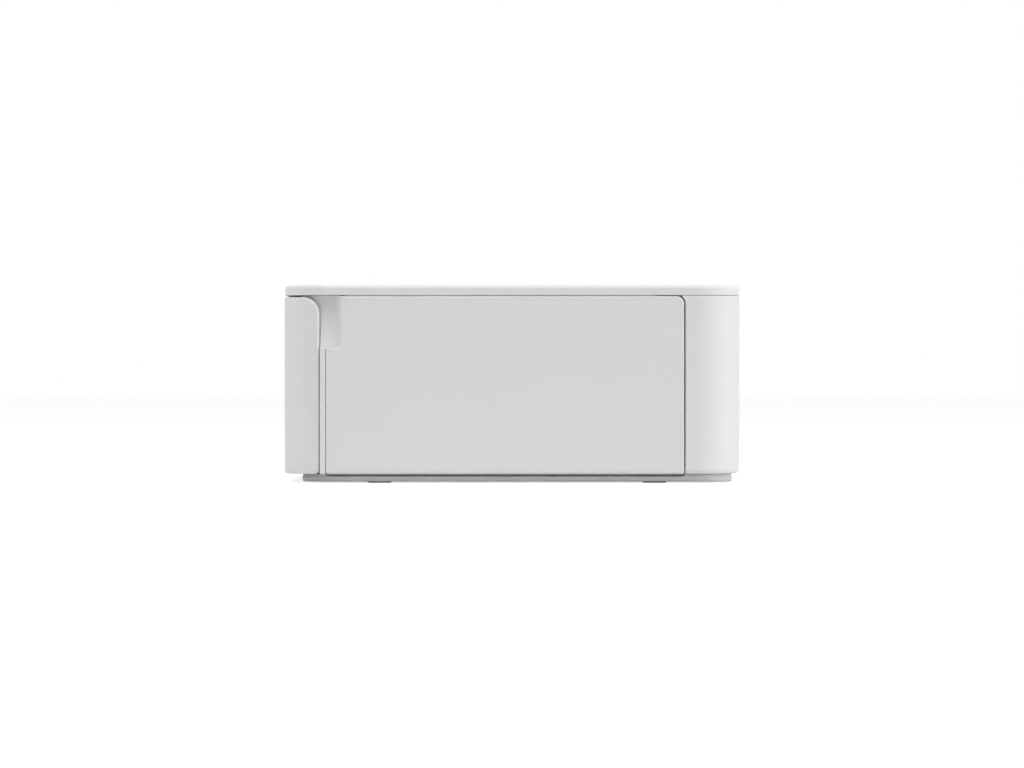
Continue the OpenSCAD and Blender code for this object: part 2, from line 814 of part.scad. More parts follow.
module front_cover() color("whitesmoke") difference() {
    union() {
        difference() {
            intersection() {
                translate([0, 0, skirt_z]) linear_extrude(cover_top - skirt_z) difference() {
                    plan(0);
                    plan(wall);
                }
                along_x(-hw - 1, hw + 1) cover_side();
            }
            for (s = [-1, 1]) bar_x(cover_knuckle_r + fit, s * cover_hinge_x - cover_hinge_l - fit,
                                    s * cover_hinge_x + cover_hinge_l + fit, cover_hinge_y, cover_hinge_z);
        }
        for (s = [-1, 1]) {
            bar_x(cover_knuckle_r, s * cover_hinge_x - cover_knuckle_l / 2, s * cover_hinge_x + cover_knuckle_l / 2,
                  cover_hinge_y, cover_hinge_z);
            block([s * cover_hinge_x - cover_knuckle_l / 2, -hd + wall / 2, skirt_z + seam],
                  [s * cover_hinge_x + cover_knuckle_l / 2, cover_hinge_y, cover_hinge_z + cover_arm_t / 2]);
            block([s * catch_x - catch_w / 2, -hd + wall - bite, cover_top - catch_drop],
                  [s * catch_x + catch_w / 2, -hd + wall + catch_reach, cover_top - catch_drop + catch_t]);
        }
    }
    for (s = [-1, 1]) bar_x(cover_pin_r + run_fit, s * cover_hinge_x - cover_knuckle_l / 2 - fit,
                            s * cover_hinge_x + cover_knuckle_l / 2 + fit, cover_hinge_y, cover_hinge_z);
}

// The finger recess: a floor that ramps in from the side face towards the top
function scoop(t) = [grip_x + (hw - fit / 2 - grip_x) * (1 + cos(180 * t)) / 2, grip_z + grip_lip + grip_rise * t];

module scoop_side() {
    polygon(concat([[grip_x - grip_t, grip_z - grip_floor], [hw + 1, grip_z - grip_floor], [hw + 1, grip_z],
                    [hw - grip_lip, grip_z]],
                   [for (i = [0:10]) scoop(i / 10)],
                   [[grip_x, shell_top], [grip_x - grip_t, shell_top]]));
}

module front_frame() color("white") difference() {
    union() {
        difference() {
            intersection() {
                translate([0, 0, skirt_z]) linear_extrude(shell_h) plan(0);
                block([-hw, frame_y0, skirt_z], [hw, frame_y1, shell_top]);
            }
            block([bay_x0 + front_mouth_in, frame_y0 - eps, chassis_top + 0.2],
                  [bay_x1 - front_mouth_in, frame_y1 + eps, front_mouth_z]);
            along_y(frame_y0 - eps, frame_y1 + eps) difference() {
                translate([grip_x, grip_z]) square([hw, shell_top]);
                scoop_side();
            }
        }
        intersection() {
            along_y(frame_y1 - bite, notch_y - door_front_gap) scoop_side();
            block([0, -hd, grip_z], [hw, 0, shell_top]);
        }
        block([grip_x - grip_t, frame_y0 - grip_t, grip_z - grip_floor], [grip_x, notch_y + grip_back, shell_top]);
        screw_column(frame_column, shell_top);
        for (s = [-1, 1], side = [-1, 1]) {
            x = s * cover_hinge_x + side * (cover_hinge_l - frame_knuckle_l / 2);
            bar_x(cover_knuckle_r, x - frame_knuckle_l / 2, x + frame_knuckle_l / 2, cover_hinge_y, cover_hinge_z);
            block([x - frame_knuckle_l / 2, cover_hinge_y, cover_hinge_z + cover_knuckle_r - cover_arm_t],
                  [x + frame_knuckle_l / 2, frame_y0 + bite, cover_hinge_z + cover_knuckle_r]);
        }
    }
    for (s = [-1, 1]) bar_x(cover_pin_r + press, s * cover_hinge_x - cover_hinge_l - 1,
                            s * cover_hinge_x + cover_hinge_l + 1, cover_hinge_y, cover_hinge_z);
    translate([0, 0, skirt_z - eps]) linear_extrude(rim_z + 0.2 - skirt_z + eps) intersection() {
        base_outline(-fit);
        translate([-hw, frame_y0 - eps]) square([body_w, frame_t + 2 * eps]);
    }
}

module door_side() {
    difference() {
        translate([door_y0, skirt_z]) square([door_y1 - door_y0, door_top - skirt_z]);
        difference() {
            translate([door_y0 - 1, notch_z]) square([notch_w + 1, notch_h + 1]);
            translate([notch_y - notch_r, notch_z]) difference() {
                square(notch_r);
                translate([0, notch_r]) circle(notch_r);
            }
        }
        translate([door_y1 - door_corner_r, door_top - door_corner_r]) difference() {
            square(door_corner_r + 1);
            circle(door_corner_r);
        }
    }
}

module ink_door() color("white") difference() {
    union() {
        difference() {
            along_x(door_x0, hw) door_side();
            for (z = door_hinge_zs)
                bar_z(door_knuckle_r + fit, z - fit, z + door_knuckle_l + fit, door_hinge_x, door_hinge_y);
        }
        for (z = door_hinge_zs, dz = [-door_knuckle_l - fit, door_knuckle_l + fit])
            bar_z(door_knuckle_r, z + dz, z + dz + door_knuckle_l, door_hinge_x, door_hinge_y);
        for (z = [skirt_z + rib_low, door_top - rib_high])
            block([door_x0 - rib_t, door_y0 + rib_front, z], [door_x0 + bite, door_hinge_y - rib_back, z + rib_t]);
        block([door_x0 - latch_reach, door_y0 + latch_in, skirt_z + latch_up],
              [door_x0 + bite, door_y0 + latch_in + latch_l, skirt_z + latch_up + latch_h]);
    }
    for (z = door_hinge_zs)
        bar_z(door_pin_r + run_fit, z - door_knuckle_l - bite, z + 2 * door_knuckle_l + bite,
              door_hinge_x, door_hinge_y);
}

module hinge_pins() color("silver") {
    for (s = [-1, 1]) bar_x(cover_pin_r, s * cover_hinge_x - cover_hinge_l, s * cover_hinge_x + cover_hinge_l,
                            cover_hinge_y, cover_hinge_z);
    for (z = door_hinge_zs) bar_z(door_pin_r, z - door_knuckle_l, z + 2 * door_knuckle_l,
                                  door_hinge_x, door_hinge_y);
}

module bay_liner() color("lightgray") difference() {
    union() {
        block([liner_x1 - liner_t, frame_column[1] + column_r + fit, column_z], [liner_x1, side_y1, shell_top]);
        block([right_x, mouth_y0 - duct_t, mouth_z0 - duct_t], [liner_x1, mouth_y1 + duct_t, mouth_z1 + duct_t]);
        for (z = door_hinge_zs) {
            bar_z(door_knuckle_r, z, z + door_knuckle_l, door_hinge_x, door_hinge_y);
            block([liner_x1 - bite, door_hinge_y - door_knuckle_r, z],
                  [door_hinge_x, door_hinge_y, z + door_knuckle_l]);
        }
        bar_x(lever_pin_r, liner_x1 - bite, liner_x1 + lever_pin_l, lever_y, lever_z);
    }
    block([right_x - eps, mouth_y0, mouth_z0], [liner_x1 + eps, mouth_y1, mouth_z1]);
    for (z = door_hinge_zs) bar_z(door_pin_r + press, z - 1, z + door_knuckle_l + 1, door_hinge_x, door_hinge_y);
}

module eject_lever() color("orange") difference() {
    x0 = liner_x1 + 0.2;
    union() {
        bar_x(lever_r, x0, x0 + lever_t, lever_y, lever_z);
        block([x0, lever_y - lever_l, lever_z - lever_h / 2], [x0 + lever_t, lever_y, lever_z + lever_h / 2]);
        block([x0, lever_y - lever_l, lever_z - lever_h / 2],
              [x0 + lever_tip, lever_y - lever_l + lever_tip_t, lever_z + lever_h / 2]);
    }
    bar_x(lever_pin_r + run_fit, liner_x1, liner_x1 + lever_pin_l, lever_y, lever_z);
}

// ---------- screen and controls ----------

module screen_lens() color([0.03, 0.03, 0.04])
    translate([0, 0, body_h - lens_t]) linear_extrude(lens_t) lens_outline(0);

module screen_module() color("dimgray")
    translate([0, 0, deck_z - module_h]) linear_extrude(module_h) lens_outline(-module_border);

module control_board() color("darkgreen") translate([0, 0, control_z]) linear_extrude(board_t)
    round_rect(control_x0, control_x1, control_y0, control_y1, board_r);

switch_points = [
    [keys_x, power_y], [keys_x - small_dx, small_y], [keys_x + small_dx, small_y], [keys_x, keys_y],
    [keys_x - ring_stem_x, keys_y], [keys_x + ring_stem_x, keys_y], [keys_x, keys_y - ring_stem_x],
    [keys_x, keys_y + ring_stem_x], [keys_x, print_y]
];

module key_switches() color("silver") for (p = switch_points) {
    block([p[0] - switch_w / 2, p[1] - switch_w / 2, control_z + board_t],
          [p[0] + switch_w / 2, p[1] + switch_w / 2, plunger_z - plunger_h]);
    bar_z(plunger_r, plunger_z - plunger_h, plunger_z, p[0], p[1]);
}

module round_key(r, x, y) {
    bar_z(r, flange_z, cap_top, x, y);
    bar_z(r + flange_w, flange_z, flange_z + flange_t, x, y);
    bar_z(stem_r, stem_z, flange_z + eps, x, y);
}

module power_button() color("white") round_key(power_r, keys_x, power_y);
module back_button() color("white") round_key(small_r, keys_x - small_dx, small_y);
module menu_button() color("white") round_key(small_r, keys_x + small_dx, small_y);
module ok_button() color("white") bar_z(ok_r, stem_z, cap_top, keys_x, keys_y);

module print_button() color("white") {
    translate([0, 0, flange_z]) linear_extrude(cap_top - flange_z) print_outline(0);
    translate([0, 0, flange_z]) linear_extrude(flange_t) print_outline(flange_w);
    bar_z(stem_r, stem_z, flange_z + eps, keys_x, print_y);
}

module dpad_ring() color("white") translate([keys_x, keys_y, 0]) difference() {
    union() {
        bar_z(ring_r, ring_z, cap_top, 0, 0);
        for (s = [-1, 1]) {
            block([-lug_w / 2, s * lug_x - lug_t / 2, pivot_z - lug_drop],
                  [lug_w / 2, s * lug_x + lug_t / 2, ring_z + bite]);
            bar_z(ring_stem_r, plunger_z + ring_stem_gap, ring_z + bite, s * ring_stem_x, 0);
            bar_z(ring_stem_r, plunger_z + ring_stem_gap, ring_z + bite, 0, s * ring_stem_x);
        }
    }
    bar_z(ring_hole_r, ring_z - eps, cap_top + eps, 0, 0);
    bar_y(trunnion_r + run_fit, -lug_x - 1, lug_x + 1, 0, pivot_z);
}

module dpad_gimbal() color("gray") translate([keys_x, keys_y, 0]) {
    outer = lug_x - lug_t / 2 - gimbal_gap;
    difference() {
        bar_z(outer, pivot_z - gimbal_t / 2, pivot_z + gimbal_t / 2, 0, 0);
        bar_z(outer - gimbal_w, pivot_z - gimbal_t, pivot_z + gimbal_t, 0, 0);
    }
    for (a = [0:90:270]) rotate([0, 0, a])
        bar_x(trunnion_r, outer - 0.8, lug_x + lug_t / 2 + 0.1, 0, pivot_z);
}

module dpad_bracket() color("lightgray") translate([keys_x, keys_y, 0]) difference() {
    union() {
        bar_z(lug_x + lug_t / 2, control_z + board_t, control_z + board_t + bracket_base_t, 0, 0);
        for (s = [-1, 1])
            block([s * lug_x - lug_t / 2, -lug_w / 2, control_z + board_t],
                  [s * lug_x + lug_t / 2, lug_w / 2, pivot_z + trunnion_r + bracket_base_t]);
    }
    bar_z(lug_x - lug_t / 2 - bracket_base_w, control_z, control_z + board_t + 2 * bracket_base_t, 0, 0);
    bar_x(trunnion_r + run_fit, -lug_x - 1, lug_x + 1, 0, pivot_z);
}

// ---------- chassis and paper path ----------

shaft_points = [[platen_y, platen_z], [feed_y, feed_z], [feed_y, pinch_z], [pickup_y, pickup_z]];

module side_outline() {
    difference() {
        round_rect(side_y0, side_y1, chassis_z, side_top, side_r);
        for (p = shaft_points) translate(p) circle(bush_r + press);
        translate([platen_y - guide_pin_r - run_fit, guide_z - head_travel - guide_pin_r - fit])
            square([2 * (guide_pin_r + run_fit), head_travel + 2 * (guide_pin_r + fit)]);
    }
}

module chassis_left() color("silver") along_x(left_x, bay_x0) difference() {
    side_outline();
    for (y = tubes) translate([y, tube_z]) circle(coupler_r + run_fit);
}

module chassis_right() color("silver") along_x(bay_x1, right_x) difference() {
    side_outline();
    for (y = tubes) translate([y, tube_z]) circle(tube_r + mouth_gap);
    translate([mouth_y0, mouth_z0]) square([mouth_y1 - mouth_y0, tube_z - mouth_z0]);
    translate([front_tube_y, tube_z - eps]) square([rear_tube_y - front_tube_y, bar_h / 2 + 1]);
}

module chassis_floor() color("silver") block([bay_x0, side_y0, chassis_z], [bay_x1, side_y1, chassis_top]);

module tie_bars() color("silver")
    for (y = tie_ys) block([bay_x0, y - tie_w / 2, tie_z], [bay_x1, y + tie_w / 2, tie_z + tie_h]);

module shaft_bushes() color("ivory") for (p = shaft_points, x = [left_x, bay_x1]) difference() {
    bar_x(bush_r, x - (bush_l - side_t) / 2, x + side_t + (bush_l - side_t) / 2, p[0], p[1]);
    bar_x(shaft_r + run_fit, x - bush_l, x + side_t + bush_l, p[0], p[1]);
}

module shaft(y, z) { bar_x(shaft_r, left_x - shaft_end, right_x + shaft_end, y, z); }

module sleeve(r, x0, x1, y, z) {
    difference() {
        bar_x(r, x0, x1, y, z);
        bar_x(shaft_r + press, x0 - eps, x1 + eps, y, z);
    }
}

module platen_roller() color("dimgray") sleeve(platen_r, bay_x0 + platen_end, bay_x1 - platen_end,
                                                    platen_y, platen_z);
module platen_shaft() color("silver") shaft(platen_y, platen_z);

module feed_roller() color("silver") {
    bar_x(shaft_r, gear_plate_x - gear_plate_t - shaft_out, right_x + shaft_end, feed_y, feed_z);
    bar_x(feed_r, bay_x0 + feed_end, bay_x1 - feed_end, feed_y, feed_z);
}

module pinch_roller() color("dimgray") {
    shaft(feed_y, pinch_z);
    bar_x(feed_r, bay_x0 + feed_end, bay_x1 - feed_end, feed_y, pinch_z);
}

module pickup_roller() color("dimgray") for (s = [-1, 1])
    sleeve(pickup_r, paper_x + s * pickup_dx - pickup_w / 2, paper_x + s * pickup_dx + pickup_w / 2,
           pickup_y, pickup_z);
module pickup_shaft() color("silver") shaft(pickup_y, pickup_z);

module paper_guide() color("gray")
    block([bay_x0, platen_y + platen_r + guide_gap, paper_z - guide_drop - guide_t],
          [bay_x1, feed_y - feed_r - guide_gap, paper_z - guide_drop]);

// ---------- thermal head ----------

module thermal_head() color("dimgray") along_x(head_x0, head_x1) polygon([
    [platen_y - head_w / 2, head_z + head_step], [platen_y - head_bead / 2 - head_slope, head_z + head_step],
    [platen_y - head_bead / 2, head_z], [platen_y + head_bead / 2, head_z],
    [platen_y + head_bead / 2 + head_slope, head_z + head_step], [platen_y + head_w / 2, head_z + head_step],
    [platen_y + head_w / 2, head_z + head_t], [platen_y - head_w / 2, head_z + head_t]
]);

module heat_sink() color("silver") along_x(head_x0, head_x1) {
    w = head_w + 2 * sink_over;
    translate([platen_y - w / 2, head_z + head_t]) square([w, sink_plate]);
    for (i = [0:fin_n - 1])
        translate([platen_y - w / 2 + i * (w - fin_t) / (fin_n - 1), head_z + head_t]) square([fin_t, sink_h]);
}

module head_bracket() color("silver") {
    block([bay_x0 + fit, platen_y - head_w / 2 - sink_over, bracket_z],
          [bay_x1 - fit, platen_y + head_w / 2 + sink_over, bracket_z + bracket_t]);
    for (x = [bay_x0 + fit, bay_x1 - fit - side_t])
        block([x, platen_y - bracket_ear / 2, bracket_z + bracket_t - eps],
              [x + side_t, platen_y + bracket_ear / 2, guide_z + guide_pin_r + 0.2]);
    bar_x(guide_pin_r, left_x - 2 * fit, bay_x0 + fit + eps, platen_y, guide_z);
    bar_x(guide_pin_r, bay_x1 - fit - eps, right_x - seam, platen_y, guide_z);
}

// ---------- ink cassette ----------

module tube_room(y) { bar_x(tube_r - tube_wall, cassette_x0 + cassette_cap, cassette_x1 - cassette_cap, y, tube_z); }

module cassette_end(x0, x1) {
    block([x0, front_tube_y, tube_z - bar_h / 2], [x1, rear_tube_y, tube_z + bar_h / 2]);
    block([x0, guide_front_y - guide_r, film_z + fit], [x1, guide_rear_y + guide_r, tube_z]);
}

module ink_cassette() color([0.12, 0.12, 0.13]) {
    difference() {
        union() {
            for (y = tubes) bar_x(tube_r, cassette_x0, cassette_x1, y, tube_z);
            cassette_end(cassette_x0, bar_left);
            cassette_end(bar_right, cassette_x1);
        }
        for (y = tubes) {
            tube_room(y);
            bar_x(hub_r + run_fit, cassette_x0 - eps, cassette_x1 + eps, y, tube_z);
        }
        block([film_x0 - 1, film_front_y - 1, film_z], [film_x1 + 1, film_front_y + film_slot, tube_z - hub_r - bite]);
        block([film_x0 - 1, film_rear_y - film_slot, film_z], [film_x1 + 1, film_rear_y + 1, tube_z]);
    }
    for (y = [guide_front_y, guide_rear_y]) bar_x(guide_r, bar_left - bite, bar_right + bite, y, guide_rod_z);
}

module spool(y) {
    bar_x(core_r, cassette_x0 + cassette_cap + fit, cassette_x1 - cassette_cap - fit, y, tube_z);
    bar_x(hub_r, cassette_x0 - hub_l, cassette_x1 - 0.1, y, tube_z);
    for (x = [film_x0 - spool_disc - 0.2, film_x1 + 0.2])
        bar_x(tube_r - tube_wall - disc_room, x, x + spool_disc, y, tube_z);
}

module film_roll(r, y) {
    difference() {
        bar_x(r, film_x0, film_x1, y, tube_z);
        bar_x(core_r + press, film_x0 - eps, film_x1 + eps, y, tube_z);
    }
}

module supply_spool() color("ivory") {
    spool(rear_tube_y);
    bar_x(coupler_r, left_x - gear_gap, cassette_x0, rear_tube_y, tube_z);
}
module supply_film() color([0.3, 0.1, 0.35]) film_roll(supply_r, rear_tube_y);
module takeup_spool() color("ivory") spool(front_tube_y);
module takeup_film() color([0.3, 0.1, 0.35]) film_roll(takeup_r, front_tube_y);

module ink_film() color([0.5, 0.35, 0.1]) {
    block([film_x0, film_front_y, film_z], [film_x1, film_rear_y, film_z + film_t]);
    block([film_x0, film_front_y, film_z], [film_x1, film_front_y + film_t, tube_z]);
    block([film_x0, film_rear_y - film_t, film_z], [film_x1, film_rear_y, tube_z]);
}

// ---------- drives ----------

module gear_plate() color("silver") difference() {
    union() {
        along_x(gear_plate_x - gear_plate_t, gear_plate_x)
            round_rect(side_y0 + gear_plate_in, side_y1, chassis_z, io_z - 2 * board_t, side_r);
        for (p = concat(gear_posts, ribbon_posts)) bar_x(post_r, gear_plate_x - bite, left_x, p[0], p[1]);
        bar_x(stud_r, gear_plate_x - bite, left_x, idler_y, idler_z);
    }
    bar_x(shaft_r + run_fit, gear_plate_x - 2, gear_plate_x + 1, feed_y, feed_z);
    bar_x(shaft_r + run_fit, gear_plate_x - 2, gear_plate_x + 1, front_tube_y, tube_z);
    bar_x(motor_shaft_r + motor_shaft_gap, gear_plate_x - 2, gear_plate_x + 1, pinion_y, pinion_z);
    bar_x(motor_shaft_r + motor_shaft_gap, gear_plate_x - 2, gear_plate_x + 1, ribbon_y, ribbon_z);
}

module motor(r, l, y, z) {
    x1 = gear_plate_x - gear_plate_t;
    difference() {
        bar_x(r, x1 - l, x1, y, z);
        bar_x(motor_shaft_r + run_fit, x1 - motor_shaft_l - 0.1, x1 + eps, y, z);
    }
}
module feed_motor() color("silver") motor(feed_motor_r, feed_motor_l, pinion_y, pinion_z);
module ribbon_motor() color("silver") motor(ribbon_motor_r, ribbon_motor_l, ribbon_y, ribbon_z);

module pinion(phase, y, z) {
    gear(pinion_n, phase, y, z, motor_shaft_r / 2);
    bar_x(motor_shaft_r, gear_plate_x - gear_plate_t - motor_shaft_l, gear_x + gear_w, y, z);
}
module feed_pinion() color("gold") pinion(feed_pinion_phase, pinion_y, pinion_z);
module ribbon_pinion() color("gold") pinion(ribbon_pinion_phase, ribbon_y, ribbon_z);
module idler_gear() color("ivory") gear(idler_n, idler_phase, idler_y, idler_z, stud_r + run_fit);
module feed_gear() color("ivory") gear(feed_n, feed_phase, feed_y, feed_z, shaft_r + press);
module takeup_gear() color("ivory") {
    gear(takeup_n, takeup_phase, front_tube_y, tube_z, coupler_r / 2);
    bar_x(coupler_r, gear_plate_x - gear_plate_t - shaft_out, cassette_x0 - hub_l, front_tube_y, tube_z);
}

module fan_frame() color("dimgray") difference() {
    block([fan_x - fan_s / 2, hd - wall - fan_t, fan_z - fan_s / 2], [fan_x + fan_s / 2, hd - wall, fan_z + fan_s / 2]);
    bar_y(fan_s / 2 - fan_rim, hd - wall - fan_t - eps, hd - wall - 1.2, fan_x, fan_z);
    difference() {
        bar_y(fan_s / 2 - fan_rim, hd - wall - 2, hd - wall + eps, fan_x, fan_z);
        bar_y(fan_hub_r, hd - wall - 3, hd, fan_x, fan_z);
        block([fan_x - fan_s / 2, hd - wall - 3, fan_z - fan_web / 2], [fan_x + fan_s / 2, hd, fan_z + fan_web / 2]);
    }
}

module fan_rotor() color("dimgray") {
    bar_y(fan_rotor_r, hd - wall - fan_t + 0.6, hd - wall - 1.6, fan_x, fan_z);
    for (i = [0:blade_n - 1]) translate([fan_x, 0, fan_z]) rotate([0, i * 360 / blade_n, 0])
        translate([4, hd - wall - fan_t / 2 - 0.5, 0]) rotate([35, 0, 0])
            cube([blade_l, blade_w, blade_t], center = true);
}

// ---------- boards and fittings ----------

module main_boards() color("darkgreen") {
    block([main_board_x0, tie_ys[0] - board_over, main_board_z],
          [main_board_x1, tie_ys[1] + board_over, main_board_z + board_t]);
    for (x = [main_board_x0 + standoff_in, main_board_x1 - standoff_in], y = tie_ys)
        bar_z(standoff_r, tie_z + tie_h, main_board_z + eps, x, y);
    block([-hw + wall + 0.2, card_y - io_board_front, io_z - board_t], [io_x1, usb_y + io_board_back, io_z]);
}

module power_board() color("darkgreen") {
    x0 = bay_x0 + power_board_x0;
    x1 = bay_x1 - power_board_x1;
    y1 = side_y1 - power_board_in;
    z0 = chassis_top + power_board_up;
    block([x0, y1 - power_board_w, z0], [x1, y1, z0 + board_t]);
    for (x = [x0 + 3, x1 - 3]) bar_z(standoff_r, chassis_top, z0 + eps, x, y1 - power_board_w + 3);
}

module socket(x0, x1, end, y, w, h) difference() {
    block([x0, y - w / 2, io_z], [x1, y + w / 2, io_z + h]);
    block([x0 - 1, y - w / 2 + io_wall, io_z + io_wall], [x1 - end, y + w / 2 - io_wall, io_z + h - io_wall]);
}

module io_ports() color("silver") {
    x0 = -hw + fit;
    socket(x0, x0 + card_l, card_end, card_y, card_w, card_h);
    socket(x0, x0 + usb_l, usb_end, usb_y, usb_w, usb_h);
    block([x0 + board_t, usb_y - usb_tongue_w / 2, io_z + (usb_h - usb_tongue_t) / 2],
          [x0 + usb_l - usb_end / 2, usb_y + usb_tongue_w / 2, io_z + (usb_h + usb_tongue_t) / 2]);
}

module dc_jack() color([0.1, 0.1, 0.1]) {
    y0 = hd - wall - jack_l;
    difference() {
        union() {
            bar_y(jack_r, hd - wall - eps, hd - 0.4, jack_x, jack_z);
            block([jack_x - jack_s / 2, y0, jack_z - jack_s / 2], [jack_x + jack_s / 2, hd - wall, jack_z + jack_s / 2]);
            block([jack_x - jack_s / 2, y0, floor_top], [jack_x + jack_s / 2, y0 + jack_foot_l, jack_z]);
        }
        bar_y(jack_bore_r, hd - wall - jack_depth, hd, jack_x, jack_z);
    }
    bar_y(jack_pin_r, hd - wall - jack_depth - bite, hd - 1.4, jack_x, jack_z);
}

module battery_cover() color("white") {
    block([battery_x - battery_w / 2, hd - wall, battery_z0], [battery_x + battery_w / 2, hd - 0.2, battery_z1]);
    block([battery_x - battery_w / 2 + battery_side, hd - wall - battery_t, battery_z0 - battery_lap],
          [battery_x + battery_w / 2 - battery_side, hd - wall, battery_z1 + battery_lap]);
}

module flat_cables() color("ivory") {
    x0 = screen_x - lens_w / 2 + cable_side;
    x1 = control_x0 + key_cable_in;
    y0 = screen_y + lens_d / 2 - cable_in;
    z0 = main_board_z + board_t;
    block([x0, y0, z0], [x0 + cable_w, y0 + cable_t, deck_z - module_h]);
    block([main_board_x1 - key_cable_in - 1, key_cable_y, z0], [x1, key_cable_y + key_cable_w, z0 + key_cable_t]);
    block([x1 - key_cable_t, key_cable_y, z0], [x1, key_cable_y + key_cable_w, control_z]);
}

module case_screws() color("silver") for (p = screw_points) {
    bar_z(screw_head_r, base_z + 0.1, base_z + screw_head_h, p[0], p[1]);
    bar_z(screw_r, base_z + screw_head_h - eps, column_z + screw_l, p[0], p[1]);
}

// ---------- the sub-parts ----------

top_plate();
main_housing();
base_pan();
feet();
front_cover();
front_frame();
ink_door();
hinge_pins();
bay_liner();
screen_lens();
screen_module();
control_board();
key_switches();
power_button();
print_button();
ok_button();
back_button();
menu_button();
dpad_ring();
dpad_gimbal();
dpad_bracket();
chassis_left();
chassis_right();
chassis_floor();
tie_bars();
shaft_bushes();
platen_roller();
platen_shaft();
feed_roller();
pinch_roller();
pickup_roller();
pickup_shaft();
paper_guide();
thermal_head();
heat_sink();
head_bracket();
ink_cassette();
supply_spool();
supply_film();
takeup_spool();
takeup_film();
ink_film();
eject_lever();
gear_plate();
feed_motor();
ribbon_motor();
feed_pinion();
ribbon_pinion();
idler_gear();
feed_gear();
takeup_gear();
fan_frame();
fan_rotor();
main_boards();
power_board();
io_ports();
dc_jack();
battery_cover();
flat_cables();
case_screws();
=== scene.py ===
"""Looks of the compact photo printer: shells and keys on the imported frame, materials, light and camera."""
import json
import math

import bmesh
import bpy
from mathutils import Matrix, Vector


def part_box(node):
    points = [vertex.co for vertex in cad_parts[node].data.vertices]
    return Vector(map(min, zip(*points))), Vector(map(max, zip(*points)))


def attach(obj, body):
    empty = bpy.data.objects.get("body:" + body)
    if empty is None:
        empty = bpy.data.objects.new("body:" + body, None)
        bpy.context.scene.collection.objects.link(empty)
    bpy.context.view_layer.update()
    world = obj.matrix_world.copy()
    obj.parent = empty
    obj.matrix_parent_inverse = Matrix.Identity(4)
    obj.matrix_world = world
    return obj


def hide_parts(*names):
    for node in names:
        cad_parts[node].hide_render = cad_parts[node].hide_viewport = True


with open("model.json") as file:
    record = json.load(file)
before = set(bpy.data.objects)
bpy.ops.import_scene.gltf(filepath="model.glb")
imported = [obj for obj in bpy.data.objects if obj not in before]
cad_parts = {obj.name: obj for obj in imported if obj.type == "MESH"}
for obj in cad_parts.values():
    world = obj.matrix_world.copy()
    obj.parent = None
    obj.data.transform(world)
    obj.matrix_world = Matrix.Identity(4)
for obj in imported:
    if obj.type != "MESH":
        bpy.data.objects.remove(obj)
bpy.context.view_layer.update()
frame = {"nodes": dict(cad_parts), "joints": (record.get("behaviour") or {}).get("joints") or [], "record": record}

MM = 0.001
ARC_STEP = math.radians(9)
FILLET_STEPS = 4
SAME_SPOT = 1e-5


# ---------- sizes, in millimetres, from the frame ----------

def size(node):
    """Lowest and highest corners of a CAD node."""
    low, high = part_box(node)
    return low / MM, high / MM


def middle(node):
    low, high = size(node)
    return (low + high) / 2


MOUNTS = {row["name"]: Vector(row["pos_m"]) / MM for row in frame["record"]["mounts"]}
HINGES = {row["name"]: Vector(row["pos_m"]) / MM for row in frame["joints"] if "pos_m" in row}
OPENINGS = {row["name"]: [Vector(corner) / MM for corner in row["box_m"]]
            for row in frame["record"]["physics"]["openings"]}

HOUSE_LOW, HOUSE_HIGH = size("main_housing")
LID_LOW, LID_HIGH = size("top_plate")
COVER_LOW, COVER_HIGH = size("front_cover")
DOOR_LOW, DOOR_HIGH = size("ink_door")
BASE_LOW, BASE_HIGH = size("base_pan")
LENS_LOW, LENS_HIGH = size("screen_lens")
HALF_W, HALF_D = HOUSE_HIGH.x, HOUSE_HIGH.y
SKIRT, SHELL_TOP = HOUSE_LOW.z, HOUSE_HIGH.z
DECK_T = 2.0
TOP = LID_HIGH.z
DECK_Z = TOP - DECK_T
CORNER_R = 13.0
WALL = 2.0
FIT = 0.3
SEAM = 0.1
LID_Z = SHELL_TOP + SEAM
COVER_GAP = 0.45
PLATE_FRONT = COVER_HIGH.y + COVER_GAP
PLATE_REAR = DOOR_LOW.y - FIT
NOTCH_W = 3.5
NOTCH_H = 15
NOTCH_Y = DOOR_LOW.y + NOTCH_W
NOTCH_Z = DOOR_HIGH.z - NOTCH_H


# ---------- outlines: lists of (place, normal, inset way, edge fillet) ----------

def rounded(points):
    """A closed outline with round corners. Points are (x, y, corner radius, fillet of the edge that leaves).
    The normals point to the left of the way round, which is where the material is."""
    out = []
    count = len(points)
    for i, (x, y, radius, fillet) in enumerate(points):
        before, after = points[i - 1], points[(i + 1) % count]
        corner = Vector((x, y))
        way_in = (corner - Vector(before[:2])).normalized()
        way_out = (Vector(after[:2]) - corner).normalized()
        turn = math.atan2(way_in.x * way_out.y - way_in.y * way_out.x, way_in.dot(way_out))
        start = corner - way_in * radius * math.tan(abs(turn) / 2)
        centre = start + Vector((-way_in.y, way_in.x)) * math.copysign(radius, turn)
        mitre = None
        if turn > 0.1 and max(before[3], fillet) > radius:
            mitre = corner + (way_in * fillet - way_out * before[3]) / -math.sin(turn)
        steps = max(3, math.ceil(abs(turn) / ARC_STEP))
        for k in range(steps + 1):
            mix = k / steps
            edge = before[3] * (1 - mix) + fillet * mix
            spot = centre + turned(start - centre, turn * mix)
            normal = turned(Vector((-way_in.y, way_in.x)), turn * mix)
            inset = (mitre - spot) / edge if mitre else normal
            out.append((spot, normal, inset, edge))
    return out


def turned(arm, angle):
    c, s = math.cos(angle), math.sin(angle)
    return Vector((arm.x * c - arm.y * s, arm.x * s + arm.y * c))


def block_outline(x0, x1, y0, y1, radius, fillet, fillets=None):
    """A rectangle with round corners. fillets, if given, are the low-y, high-x, high-y and low-x edges'."""
    a, b, c, d = fillets or (fillet,) * 4
    return rounded([(x0, y0, radius, a), (x1, y0, radius, b), (x1, y1, radius, c), (x0, y1, radius, d)])


